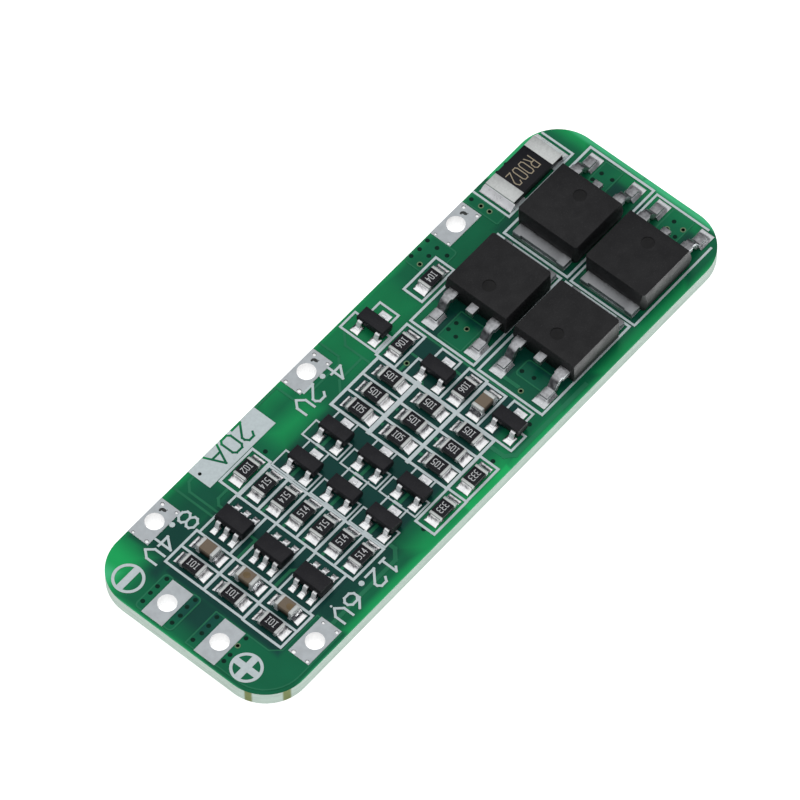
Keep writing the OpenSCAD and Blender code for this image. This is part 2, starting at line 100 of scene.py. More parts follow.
def colour(name, about, rgb):
    return bpy.props.FloatVectorProperty(
        name=name, description=about, default=srgb(*rgb), size=3, min=0.0, max=1.0, subtype="COLOR"
    )


class MaskSettings(bpy.types.PropertyGroup):
    green: colour("Green", "Solder mask over the laminate", (13, 97, 65))
    # Painted shade: the mask's green where copper on the far side keeps light out and where parts cast shadow
    painted_shade: colour("Shaded green", "Mask where copper on the far side keeps light out", (13, 60, 55))
    # Painted light: the mask's green where light comes through the laminate
    painted_light: colour("Lit green", "Mask where light comes through the laminate", (26, 168, 92))
    # Painted highlight: the mask's green at its brightest edges
    glow: colour("Edge green", "Mask at the brightest edges", (70, 186, 130))
    # Paler green over tracks and sheet rims: copper under thin mask, together with a painted highlight along
    # their edges
    track: colour("Track green", "Mask over tracks and over the rims of copper sheets", (36, 110, 79))
    roughness: share("Roughness", "Roughness of the solder mask", 0.26)
    via_d: length("Via hole", "Diameter of the small plated holes", 0.00033)


class PrintSettings(bpy.types.PropertyGroup):
    white: colour("White", "White print", (190, 201, 204))
    line: length("Line", "Width of the printed lines", 0.00022)
    letter_line: length("Letter line", "Width of the strokes of the voltage marks", 0.00021)


class MetalSettings(bpy.types.PropertyGroup):
    tin: colour("Tin", "Tinned copper lands", (206, 212, 216))
    solder: colour("Solder", "Solder joints", (246, 247, 250))
    lead: colour("Leads", "Plated leads and legs", (174, 175, 178))
    tab: colour("Tabs", "Drain tabs of the power transistors", (155, 157, 160))
    cap: colour("End caps", "End caps of the chips", (208, 211, 210))


class PartSettings(bpy.types.PropertyGroup):
    moulding: colour("Power moulding", "Moulded bodies of the power transistors", (24, 24, 26))
    small_moulding: colour("Small moulding", "Moulded bodies of the small packages", (22, 22, 27))
    coat: colour("Resistor coat", "Black glass on the resistors", (24, 24, 29))
    code: colour("Resistor code", "Value printed on a resistor", (190, 192, 194))
    shunt_code: colour("Shunt code", "Value printed on the shunt", (158, 146, 124))
    # Dark grey ceramic: painted shade on the resistor's sides
    ceramic: colour("Ceramic", "Side of a resistor", (58, 62, 62))
    dielectric: colour("Capacitor", "Ceramic of a capacitor", (112, 100, 86))
    edge: colour("Laminate", "Cut edge of the board", (188, 205, 195))


class StageSettings(bpy.types.PropertyGroup):
    floor: colour("Floor", "Pale floor", (246, 247, 248))
    glow: amount("Floor glow", "Light the floor gives off", 0.9)
    key: amount("Key light", "Power of the main light", 2.0, unit="POWER")
    glare: amount("Table glare", "Light of the table that shows in the near sides", 0.08, unit="POWER")
    sky: amount("Sky", "Strength of the surroundings", 0.72)
    lens: amount("Lens", "Focal length of the camera", 322.35, unit="CAMERA")


class BoardSettings(bpy.types.PropertyGroup):
    mask: bpy.props.PointerProperty(type=MaskSettings)
    marks: bpy.props.PointerProperty(type=PrintSettings)
    metal: bpy.props.PointerProperty(type=MetalSettings)
    parts: bpy.props.PointerProperty(type=PartSettings)
    stage: bpy.props.PointerProperty(type=StageSettings)


def settings():
    return bpy.context.scene.battery_board


# Materials


def plug(tree, socket, value):
    """Links a socket to another one, or sets it to a number, a vector or a colour."""
    if isinstance(value, bpy.types.NodeSocket):
        tree.links.new(value, socket)
    elif socket.type == "RGBA":
        socket.default_value = (*value, 1)
    else:
        socket.default_value = value


def add(tree, kind, inputs=(), **values):
    """A shader node of that kind with its properties and its inputs set. Gives back its outputs."""
    node = tree.nodes.new("ShaderNode" + kind)
    for name, value in values.items():
        setattr(node, name, value)
    for key, value in dict(inputs).items():
        plug(tree, node.inputs[key], value)
    return node.outputs


def arithmetic(tree, operation, first, second):
    return add(tree, "Math", {0: first, 1: second}, operation=operation)[0]


def place_on_piece(tree, scale=(1, 1, 1)):
    """Object coordinates, stretched by scale."""
    place = add(tree, "TexCoord")["Object"]
    return add(tree, "Mapping", {"Vector": place, "Scale": scale})["Vector"]


def height_on_piece(tree):
    return add(tree, "SeparateXYZ", {0: place_on_piece(tree)})["Z"]


def grain(tree, size, detail=3.0, stretch=(1, 1, 1)):
    """Noise whose features are about size metres wide."""
    inputs = {"Vector": place_on_piece(tree, stretch), "Scale": 1 / size, "Detail": detail, "Roughness": 0.55}
    return add(tree, "TexNoise", inputs)["Fac"]


def between(tree, value, low, high, out_low=0.0, out_high=1.0):
    """What lies between low and high, eased out over another range."""
    inputs = {"Value": value, "From Min": low, "From Max": high, "To Min": out_low, "To Max": out_high}
    return add(tree, "MapRange", inputs, interpolation_type="SMOOTHSTEP")["Result"]


def spread(tree, noise, low=0.0, high=1.0):
    """Noise, most of which lies round its middle, spread out over a range."""
    return between(tree, noise, 0.3, 0.7, low, high)


def blend(tree, factor, first, second):
    """Mixes two colours, each three numbers or a socket."""
    node = tree.nodes.new("ShaderNodeMix")
    node.data_type = "RGBA"
    plug(tree, node.inputs["Factor"], factor)
    for socket, value in zip((s for s in node.inputs if s.type == "RGBA"), (first, second)):
        plug(tree, socket, value)
    return next(s for s in node.outputs if s.type == "RGBA")


def tinted(rgb, factor, lift=0.0):
    return tuple(min(1.0, c * factor + lift) for c in rgb)


def mixed(first, second, part):
    return tuple(a + (b - a) * part for a, b in zip(first, second))


MATERIALS = {}


def finish(name, metallic=0.0, roughness=0.5, specular=0.5):
    """A new material with what is the same all over set. Gives back its nodes and its shader's inputs."""
    MATERIALS[name] = bpy.data.materials.new(name)
    MATERIALS[name].use_nodes = True
    tree = MATERIALS[name].node_tree
    inputs = tree.nodes["Principled BSDF"].inputs
    inputs["Metallic"].default_value = metallic
    inputs["Roughness"].default_value = roughness
    inputs["Specular IOR Level"].default_value = specular
    return tree, inputs


def roughen(tree, shader, height, depth):
    """Bump from a height, depth metres deep."""
    bump = add(tree, "Bump", {"Height": height, "Strength": 1.0, "Distance": depth})
    plug(tree, shader["Normal"], bump["Normal"])


def mottled(name, rgb, variation, size, depth, low, high, metallic=0.0, specular=0.5):
    """A finish whose colour, roughness and surface vary with fine grain."""
    if isinstance(rgb, str):
        rgb = settings().path_resolve(rgb)
    tree, shader = finish(name, metallic=metallic, specular=specular)
    noise = grain(tree, size * MM)
    mix = blend(tree, spread(tree, noise), tinted(rgb, 1 - variation), tinted(rgb, 1 + variation))
    plug(tree, shader["Base Color"], mix)
    plug(tree, shader["Roughness"], spread(tree, noise, low, high))
    if depth:
        roughen(tree, shader, noise, depth * MM)


# Finishes with fine grain: the colour or the setting that holds it, how far it varies, the grain's size
# and depth in millimetres, the roughness from and to, how metallic it is and how much it reflects
MOTTLED = {
    # Near-black walls of drilled holes and dark green discs over covered holes: painted shade of the holes
    "via_wall": (srgb(8, 20, 16), 0.3, 0.2, 0, 0.4, 0.5, 0, 0.1),
    "covered_via": (srgb(2, 40, 30), 0.3, 0.2, 0, 0.4, 0.5, 0, 0.1),
    "bare_copper_ring": (srgb(96, 122, 88), 0.2, 0.3, 0, 0.4, 0.5),
    "white_print": ("marks.white", 0.05, 0.3, 0.004, 0.5, 0.62),
    "tinned_land": ("metal.tin", 0.04, 0.7, 0, 0.46, 0.56, 1),
    "tin_bump": ((0.95, 0.96, 0.98), 0.08, 0.5, 0.01, 0.2, 0.3, 1),
    "drain_tab": ("metal.tab", 0.08, 0.5, 0.003, 0.42, 0.52, 1),
    "flux_mark": (srgb(46, 50, 50), 0.4, 0.2, 0, 0.3, 0.5, 0.3),
    # Dark green film at the edge of a drain tab: painted shadow along the tab's edge
    "thin_solder": (srgb(44, 84, 70), 0.3, 0.3, 0, 0.3, 0.5),
    "smooth_solder": ((0.86, 0.87, 0.9), 0.08, 0.7, 0.02, 0.25, 0.42, 0.45),
    # Darker grey solder round the power legs' feet: painted shadow and painted dark reflection
    "leg_solder": ((0.66, 0.68, 0.7), 0.1, 0.6, 0.03, 0.22, 0.4, 0.8),
    "solder_joint": ("metal.solder", 0.12, 0.5, 0.05, 0.14, 0.3, 1),
    "lead_plating": ("metal.lead", 0.28, 0.35, 0.02, 0.3, 0.48, 1),
    "small_lead": ((0.86, 0.87, 0.89), 0.08, 0.3, 0.02, 0.2, 0.34, 0.5),
    "end_cap": ("metal.cap", 0.08, 0.25, 0.01, 0.38, 0.52, 0.6),
    "resistor_coat": ("parts.coat", 0.12, 0.4, 0.003, 0.3, 0.42, 0, 0.16),
    "resistor_code": ("parts.code", 0.08, 0.2, 0, 0.5, 0.6),
    "shunt_code": ("parts.shunt_code", 0.08, 0.2, 0, 0.5, 0.6),
    # Dark grey resistor ceramic: painted shade on its sides
    "resistor_ceramic": ("parts.ceramic", 0.1, 0.2, 0.004, 0.4, 0.5),
    "ochre_spot": (srgb(108, 91, 66), 0.12, 0.4, 0, 0.45, 0.55, 0, 0.2),
}


def soft_patch():
    """Node group: 1 inside a box seen from above, 0 outside, with a soft border."""
    tree = bpy.data.node_groups.get("soft_patch")
    if tree:
        return tree
    tree = bpy.data.node_groups.new("soft_patch", "ShaderNodeTree")
    for name, kind in (("Point", "Vector"), ("Centre", "Vector"), ("Half", "Vector"), ("Softness", "Float")):
        tree.interface.new_socket(name, in_out="INPUT", socket_type="NodeSocket" + kind)
    tree.interface.new_socket("Inside", in_out="OUTPUT", socket_type="NodeSocketFloat")
    given = tree.nodes.new("NodeGroupInput").outputs
    result = tree.nodes.new("NodeGroupOutput").inputs
    away = add(tree, "VectorMath", {0: given["Point"], 1: given["Centre"]}, operation="SUBTRACT")[0]
    positive = add(tree, "VectorMath", {0: away}, operation="ABSOLUTE")[0]
    past = add(tree, "VectorMath", {0: positive, 1: given["Half"]}, operation="SUBTRACT")[0]
    axes = add(tree, "SeparateXYZ", {0: past})
    outside = arithmetic(tree, "MAXIMUM", axes["X"], axes["Y"])
    inner = arithmetic(tree, "MULTIPLY", given["Softness"], -1.0)
    plug(tree, result["Inside"], between(tree, outside, inner, given["Softness"], 1, 0))
    return tree


def patches(tree, boxes):
    """The union of soft boxes, each x0, x1, y0, y1, softness and strength in millimetres on the board."""
    point = add(tree, "TexCoord")["Object"]
    union = None
    for x0, x1, y0, y1, softness, strength in boxes:
        inputs = {
            "Point": point,
            "Centre": on_board((x0 + x1) / 2, (y0 + y1) / 2),
            "Half": ((x1 - x0) / 2 * MM, (y1 - y0) / 2 * MM, 1),
            "Softness": softness * MM,
        }
        inside = add(tree, "Group", inputs, node_tree=soft_patch())["Inside"]
        inside = arithmetic(tree, "MULTIPLY", inside, strength)
        union = inside if union is None else arithmetic(tree, "MAXIMUM", union, inside)
    return union


# Painted shade: where copper on the far side keeps light out of the laminate, and where the mouldings and
# other parts cast shadow
PAINTED_SHADE_BOXES = [
    (4.3, 35.2, 3, 15.3, 0.35, 1),
    (1.6, 5, 8.4, 12.2, 1, 0.9),
    (3.2, 9.3, 15, 18.1, 0.7, 0.9),
    (4.9, 5.4, 17.6, 20.5, 0.25, 0.9),
    (9.2, 18.2, 1.9, 3.6, 0.5, 0.9),
    (9.2, 13.5, 14.8, 16, 0.5, 0.8),
    (35, 46.8, 7.9, 9, 0.3, 0.7),
    (35.6, 38.6, 12.9, 14.2, 0.15, 0.9),
    (36.4, 38.8, 5.8, 8, 0.3, 0.8),
    (35.4, 38.6, 2.2, 8, 0.5, 0.4),
    (38.4, 40.2, 1.6, 15.6, 0.3, 0.8),
    (37.4, 41.6, 16, 18.2, 0.4, 0.4),
    (46.7, 48.2, 1.2, 15.5, 0.3, 0.6),
    (55.6, 57.2, 10.2, 11.5, 0.3, 0.9),
    (55.6, 57.2, 2.8, 3.7, 0.3, 0.8),
    (46.8, 57, 7.9, 8.7, 0.2, 0.8),
    (46.8, 49.2, 15.2, 16.2, 0.4, 0.6),
    (9.2, 13.2, 16, 18.5, 0.8, 0.5),
]
# Painted light: where light comes through the laminate
PAINTED_LIGHT_BOXES = [
    (-1, 4.3, 17.2, 21, 1.5, 1),
    (9.5, 35.6, -1, 0.6, 0.4, 0.65),
    (18.8, 30.5, -1, 1.6, 1.1, 0.58),
    (24.5, 30, -1, 0.7, 0.3, 1),
    (35.6, 60, -1, 0.35, 0.3, 0.5),
    (33.5, 37, -1, 0.8, 0.5, 0.5),
    (41.5, 53, -1, 0.8, 0.6, 0.55),
    (-1, 0.2, 7.5, 16.5, 0.5, 0.5),
    (19.6, 24.2, 15.6, 17.4, 1.5, 0.55),
    (21, 27, 18.9, 20.5, 1.5, 0.4),
    (28.4, 37.5, 15.8, 20.5, 1.2, 0.22),
    (4, 48.6, 19.6, 20.5, 0.35, 0.4),
    (50.5, 60, 19.4, 21, 0.35, 0.85),
    (57.9, 60, 15.5, 21, 0.8, 0.7),
    (57.3, 58.6, 3, 12, 0.8, 0.25),
]
# Painted highlight: where the edge is brightest
PAINTED_GLOW_BOXES = [
    (-1, 1.8, 18, 21, 0.6, 0.9),
    (58.5, 60, 1.5, 9.8, 0.3, 1),
    (58.6, 60, 9.8, 21, 0.22, 0.9),
    (50.5, 57, 19.6, 21, 0.2, 0.5),
    (-1, 0.05, -1, 21, 0.15, 0.8),
    (-1, 60, -1, 0.05, 0.15, 0.8),
]

# The two brown break-off points of the cut edge
BROKEN_OFF = [(-0.6, 0.9, 2.35, 2.95, 0.1, 1), (2.05, 2.7, -0.6, 0.9, 0.1, 1)]


def solder_mask(name, over=None):
    """Green mask with painted shade where copper on the far side keeps light out and where parts cast shadow,
    painted light where light comes through, painted highlights at the brightest edges, and paler over copper.
    """
    look = settings().mask
    tree, shader = finish(name, roughness=look.roughness, specular=0.1)
    base, painted_shade, painted_light = look.green, look.painted_shade, look.painted_light
    # Over tracks and copper sheets the painted shade and painted light are made weaker
    if over == "track":
        base, painted_shade = look.track, tinted(look.track, 0.9)
        painted_light = mixed(base, painted_light, 0.3)
    elif over == "sheet":
        base = [c * s for c, s in zip(base, (1.1, 1.03, 1.06))]
        painted_shade = tinted(painted_shade, 1.3)
        painted_light = mixed(base, painted_light, 0.6)
    # Blends the painted shade, the painted light and the painted edge highlight over the green, each in its
    # boxes
    for boxes, rgb in ((PAINTED_SHADE_BOXES, painted_shade), (PAINTED_LIGHT_BOXES, painted_light), (PAINTED_GLOW_BOXES, look.glow)):
        base = blend(tree, patches(tree, boxes), base, rgb)
    cloud = spread(tree, grain(tree, 0.004, detail=2.0), 0.92, 1.08)
    plug(tree, shader["Base Color"], add(tree, "HueSaturation", {"Color": base, "Value": cloud})["Color"])
    roughen(tree, shader, grain(tree, 0.0006, detail=2.0), 0.000004)


def cut_laminate(name):
    """Cut edge of the laminate: pale, with rough fibre layers, and brown at the two break-off points."""
    rgb = settings().parts.edge
    tree, shader = finish(name, roughness=0.85, specular=0.08)
    fibres = grain(tree, 0.0008, detail=4.0, stretch=(0.5, 0.5, 6))
    pale = blend(tree, between(tree, fibres, 0.3, 0.6), tinted(rgb, 0.84), rgb)
    plug(tree, shader["Base Color"], blend(tree, patches(tree, BROKEN_OFF), pale, srgb(124, 134, 88)))
    roughen(tree, shader, fibres, 0.00003)


def wire_land(name):
    """Tin on a wire land; the wall of its hole painted white, a painted reflection of the bright floor."""
    tin = settings().metal.tin
    tree, shader = finish(name)
    top = between(tree, height_on_piece(tree), (LANDS_TOP - 0.04) * MM, (LANDS_TOP - 0.02) * MM)
    tinned = blend(tree, spread(tree, grain(tree, 0.0007)), tinted(tin, 0.94), tinted(tin, 1.05))
    # Below the land's top the hole's wall is plain white and not metallic: painted reflection of the bright
    # floor
    plug(tree, shader["Base Color"], blend(tree, top, (1.0, 1.0, 1.0), tinned))
    plug(tree, shader["Metallic"], top)


def moulded(name, rgb):
    """Moulding compound: charcoal with fine pale specks."""
    tree, shader = finish(name, specular=0.32)
    specks = grain(tree, 0.00009, detail=2.0)
    pale = between(tree, specks, 0.55, 0.75)
    plug(tree, shader["Base Color"], blend(tree, pale, rgb, tinted(rgb, 2.0, 0.004)))
    plug(tree, shader["Roughness"], spread(tree, grain(tree, 0.0012), 0.48, 0.62))
    roughen(tree, shader, specks, 0.000008)


def capacitor_body(name):
    """Tan ceramic with painted shade, darker towards the board."""
    rgb = settings().parts.dielectric
    tree, shader = finish(name, specular=0.2)
    low = (LANDS_TOP + 0.1) * MM
    raised = between(tree, height_on_piece(tree), low, low + 0.75 * MM)
    # Painted shade: the ceramic's colour falls to an eighth near the board
    plug(tree, shader["Base Color"], blend(tree, raised, tinted(rgb, 0.12), rgb))
    roughen(tree, shader, grain(tree, 0.0003), 0.000004)


def material(name):
    """The finish of that name, made when it is first asked for."""
    part = settings().parts
    makers = {
        "mask_on_laminate": (solder_mask,),
        "mask_on_copper": (solder_mask, "sheet"),
        "mask_on_track": (solder_mask, "track"),
        "laminate_cut_edge": (cut_laminate,),
        "wire_land": (wire_land,),
        "power_moulding": (moulded, part.moulding),
        # The ejector mark's floor is painted darker than the moulding: painted shade in the dimple
        "ejector_mark": (moulded, tinted(part.moulding, 0.45)),
        "small_moulding": (moulded, part.small_moulding),
        "capacitor_ceramic": (capacitor_body,),
    }
    if name not in MATERIALS:
        maker, *rest = makers.get(name) or (mottled, *MOTTLED[name])
        maker(name, *rest)
    return MATERIALS[name]


# Shapes

# Faces up to this many square millimetres are shaded smooth
SMOOTH_UP_TO = 0.08


def on_board(x, y, z=0.0):
    """A point x and y millimetres from the board's corner and z millimetres above its underside."""
    return Vector((BOARD_LOW.x + x * MM, BOARD_LOW.y + y * MM, z * MM))


def seen_from_above(node):
    """x0, x1, y0 and y1 of a CAD node, in millimetres from the board's corner."""
    low, high = ((corner - on_board(0, 0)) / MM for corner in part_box(node))
    return low.x, high.x, low.y, high.y


def only(kind, items):
    return [item for item in items if isinstance(item, kind)]


def faces_of(verts):
    return list({face for vert in verts for face in vert.link_faces})


def paint(faces, index):
    """Gives faces the material of that index."""
    for face in faces:
        face.material_index = index
    return faces


def bevel(bm, parts, offset, segments=2, affect="EDGES"):
    bmesh.ops.bevel(
        bm, geom=parts, offset=offset, segments=segments, affect=affect,
        profile=0.5, clamp_overlap=True, material=-1,
    )


def raise_up(bm, faces, height):
    """Makes a solid of flat faces. Gives back its upper corners."""
    lifted = only(bmesh.types.BMVert, bmesh.ops.extrude_face_region(bm, geom=faces)["geom"])
    bmesh.ops.translate(bm, vec=(0, 0, height), verts=lifted)
    return lifted


def block(bm, low, high, index=0, turn=0.0):
    """A box between two corners in millimetres, turned about its middle."""
    low, high = Vector(low), Vector(high)
    place = Matrix.Translation((low + high) / 2) @ Matrix.Rotation(turn, 4, "Z")
    made = bmesh.ops.create_cube(bm, size=1, matrix=place @ Matrix.Diagonal((*(high - low), 1)))
    return paint(faces_of(made["verts"]), index)


class Pen:
    """Draws lines whose tops differ by half a micrometre, so that crossing lines never share a face."""

    LIFT = 0.0005
    LIFTS = 29

    def __init__(self, bm, low, high, width=None, index=0):
        self.bm, self.low, self.high, self.width, self.index = bm, low, high, width, index
        self.drawn = 0

    def line(self, *points, width=None):
        """Straight lines with square ends from point to point, in millimetres."""
        width = width or self.width
        for start, end in zip(points, points[1:]):
            along = Vector(end) - Vector(start)
            centre = (Vector(start) + Vector(end)) / 2
            half = Vector((along.length + width, width)) / 2
            top = self.high + self.drawn % self.LIFTS * self.LIFT
            block(
                self.bm, (*(centre - half), self.low), (*(centre + half), top), self.index,
                math.atan2(along.y, along.x),
            )
            self.drawn += 1

    def glyph(self, character, x0, x1, y0, y1, turn=0.0, about=None):
        """A figure or letter in the box x0 to x1, y0 to y1, turned about a point or its own middle."""
        about = Vector(about or ((x0 + x1) / 2, (y0 + y1) / 2))
        spin = Matrix.Rotation(turn, 2)
        for path in GLYPHS[character]:
            flat = [Vector((x0 + (x1 - x0) * u / 4, y0 + (y1 - y0) * v / 6)) for u, v in path]
            self.line(*(about + spin @ (point - about) for point in flat))

    def upside_down(self, y0, y1, *figures):
        """Figures turned upside down between y0 and y1, each given with its x0 and x1."""
        for character, x0, x1 in figures:
            self.glyph(character, x0, x1, y0, y1, TURNED)

    def word(self, text, centre, size, gap, turn=0.0):
        """A row of figures centred on a point; size is one figure's width and height."""
        wide, high = size
        left = centre[0] - (len(text) * wide + (len(text) - 1) * gap) / 2
        for k, character in enumerate(text):
            x0 = left + k * (wide + gap)
            self.glyph(character, x0, x0 + wide, centre[1] - high / 2, centre[1] + high / 2, turn, centre)


# Figures and letters as strokes in a box 4 wide and 6 high
GLYPHS = {
    "0": [[(0.8, 0), (3.2, 0), (4, 0.9), (4, 5.1), (3.2, 6), (0.8, 6), (0, 5.1), (0, 0.9), (0.8, 0)]],
    "1": [[(0.4, 0), (3.6, 0)], [(2, 0), (2, 6), (0.4, 4.9)]],
    "I": [[(0.6, 0), (3.4, 0)], [(2, 0), (2, 6)], [(0.6, 6), (3.4, 6)]],
    "2": [[(0, 4.8), (0.9, 6), (3.1, 6), (4, 4.9), (4, 3.9), (0, 0), (4, 0)]],
    "3": [
        [(0, 6), (3, 6), (4, 5.1), (4, 3.9), (3, 3), (1.2, 3)],
        [(3, 3), (4, 2.1), (4, 0.9), (3, 0), (0, 0)],
    ],
    "4": [[(2.9, 0), (2.9, 6), (0, 2.2), (4, 2.2)]],
    "5": [[(3.8, 6), (0.2, 6), (0.2, 3.5), (3, 3.5), (4, 2.6), (4, 1), (3, 0), (0, 0)]],
    "6": [[(0, 2.4), (1, 3.5), (3, 3.5), (4, 2.4), (4, 1.1), (3, 0), (1, 0), (0, 1.1), (0, 3.4), (2.6, 6)]],
    "8": [
        [(1.1, 0), (2.9, 0), (4, 1), (4, 2), (2.9, 3), (1.1, 3), (0, 2), (0, 1), (1.1, 0)],
        [(1.1, 3), (0, 4), (0, 5), (1.1, 6), (2.9, 6), (4, 5), (4, 4), (2.9, 3)],
    ],
    "A": [[(0, 0), (2, 6), (4, 0)], [(0.8, 2.2), (3.2, 2.2)]],
    "R": [[(0, 0), (0, 6), (3, 6), (4, 5.2), (4, 3.8), (3, 3), (0, 3)], [(2, 3), (4, 0)]],
    "V": [[(0, 6), (0, 2.3), (2, 0), (4, 2.3), (4, 6)]],
}


def disc(bm, centre, radius, low, high, index=0, segments=16):
    """A short cylinder, in millimetres."""
    matrix = Matrix.Translation((*centre, (low + high) / 2))
    made = bmesh.ops.create_cone(
        bm, cap_ends=True, segments=segments, radius1=radius, radius2=radius, depth=high - low, matrix=matrix
    )
    paint(faces_of(made["verts"]), index)


def ring(bm, centre, outer, inner, low, high, index=0, segments=48):
    """A flat ring, made from a circle that is drawn inwards and then raised."""
    place = Matrix.Translation((*centre, low))
    circle = bmesh.ops.create_circle(bm, segments=segments, radius=outer, matrix=place)["verts"]
    rim = list({edge for vert in circle for edge in vert.link_edges})
    drawn = bmesh.ops.extrude_edge_only(bm, edges=rim)["geom"]
    inside = only(bmesh.types.BMVert, drawn)
    about = Matrix.Translation((-centre[0], -centre[1], 0))
    bmesh.ops.scale(bm, vec=(inner / outer, inner / outer, 1), verts=inside, space=about)
    lifted = raise_up(bm, only(bmesh.types.BMFace, drawn), high - low)
    bmesh.ops.recalc_face_normals(bm, faces=paint(faces_of(lifted + inside + circle), index))


def dome(bm, centre, radii, index=0):
    """A flattened ball, in millimetres."""
    matrix = Matrix.Translation(centre) @ Matrix.Diagonal((*radii, 1))
    made = bmesh.ops.create_uvsphere(bm, u_segments=10, v_segments=6, radius=1, matrix=matrix)
    paint(faces_of(made["verts"]), index)


def mesh_of(name, bm):
    """Mesh data of that name from a drawn mesh, which is used up."""
    mesh = bpy.data.meshes.new(name)
    bm.to_mesh(mesh)
    bm.free()
    return mesh


def join(bm, other):
    """Adds a second drawn mesh to the first."""
    mesh = mesh_of("joined", other)
    bm.from_mesh(mesh)
    bpy.data.meshes.remove(mesh)


def sheet(bm, outline, low, high, corner):
    """A flat sheet with this outline, its corners rounded, in millimetres. Gives back the rounded outline."""
    drawn = bmesh.new()
    drawn.faces.new([drawn.verts.new((x, y, low)) for x, y in outline])
    bevel(drawn, list(drawn.verts), corner, 4, "VERTICES")
    rounded = [tuple(vert.co.xy) for face in drawn.faces for vert in face.verts]
    raise_up(drawn, list(drawn.faces), high - low)
    bmesh.ops.recalc_face_normals(drawn, faces=drawn.faces)
    join(bm, drawn)
    return rounded


def placed(name, data):
    """An object of that name in the scene."""
    made = bpy.data.objects.new(name, data)
    bpy.context.scene.collection.objects.link(made)
    return made


def piece(name, bm, materials, nodes=(), smooth=None):
    """Hands a drawn mesh over as a finished piece, shaded smooth below that angle."""
    mesh = mesh_of(name, bm)
    if "custom_normal" in mesh.attributes:
        mesh.attributes.remove(mesh.attributes["custom_normal"])
    for kind in materials:
        mesh.materials.append(material(kind))
    if smooth is not None:
        limit = SMOOTH_UP_TO * MM * MM
        mesh.polygons.foreach_set("use_smooth", [face.area < limit for face in mesh.polygons])
        mesh.set_sharp_from_angle(angle=math.radians(smooth))
    made = placed(name, mesh)
    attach(made, "root")
    if nodes:
        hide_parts(*nodes)


def piece_on_board(name, bm, materials, nodes=(), smooth=None):
    """Hands over a mesh that was drawn in millimetres from the board's corner."""
    bmesh.ops.transform(bm, matrix=Matrix.Translation(on_board(0, 0)) @ Matrix.Scale(MM, 4), verts=bm.verts)
    piece(name, bm, materials, nodes, smooth)


def paint_node(node, kind):
    """Gives a CAD node that stays its finish."""
    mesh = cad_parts[node].data
    mesh.materials.clear()
    mesh.materials.append(material(kind))


def merged(node):
    """A copy of a CAD node's mesh with its loose triangles joined."""
    bm = bmesh.new()
    bm.from_mesh(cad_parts[node].data)
    bmesh.ops.remove_doubles(bm, verts=bm.verts, dist=1e-6)
    return bm


def copy_of(node):
    """A copy of a CAD node's mesh with flat faces in one piece."""
    bm = merged(node)
    bmesh.ops.dissolve_limit(bm, angle_limit=math.radians(1), verts=bm.verts, edges=bm.edges)
    paint(bm.faces, 0)
    return bm


def soften_copy(bm, offset, chosen=lambda edge: True):
    """Rounds the chosen ones of a copied solid's sharp convex edges, by an offset in millimetres."""
    sharp = [e for e in bm.edges if len(e.link_faces) == 2 and e.is_convex and e.calc_face_angle() > 0.6]
    bevel(bm, [edge for edge in sharp if chosen(edge)], offset * MM)


def islands(bm):
    """The separate shells of a mesh, as lists of vertices."""
    left = set(bm.verts)
    while left:
        shell, found = [], [left.pop()]
        while found:
            vert = found.pop()
            shell.append(vert)
            for edge in vert.link_edges:
                other = edge.other_vert(vert)
                if other in left:
                    left.remove(other)
                    found.append(other)
        yield shell


def corners(verts):
    return tuple(Vector(end(v.co[k] for v in verts) for k in range(3)) for end in (min, max))


def drill(bm, holes, index):
    """Bores round holes, each x, y and radius in millimetres; their walls get the material of that index."""
    cutter = bmesh.new()
    for x, y, radius in holes:
        disc(cutter, (x, y), radius, -1, 5, index, segments=48 if radius > 0.5 else 12)
    things = []
    for name, source in (("undrilled", bm), ("drill", cutter)):
        things.append(placed(name, mesh_of(name, source)))
        for kind in range(index + 1):
            things[-1].data.materials.append(None)
    cut = things[0].modifiers.new("holes", "BOOLEAN")
    cut.object = things[1]
    cut.operation = "DIFFERENCE"
    cut.solver = "EXACT"
    evaluated = things[0].evaluated_get(bpy.context.evaluated_depsgraph_get())
    result = bmesh.new()
    result.from_mesh(evaluated.to_mesh())
    evaluated.to_mesh_clear()
    for thing in things:
        mesh = thing.data
        bpy.data.objects.remove(thing)
        bpy.data.meshes.remove(mesh)
    if not result.faces:
        raise RuntimeError("no board is left after drilling")
    return result


# The board

# Radius drilled for a wire, in millimetres
WIRE_HOLE = 0.905
WIRE_LANDS = [
    "battery_output_minus", "battery_output_plus", "battery_tap_12v6",
    "battery_tap_8v4", "battery_tap_4v2", "battery_tap_0v",
]

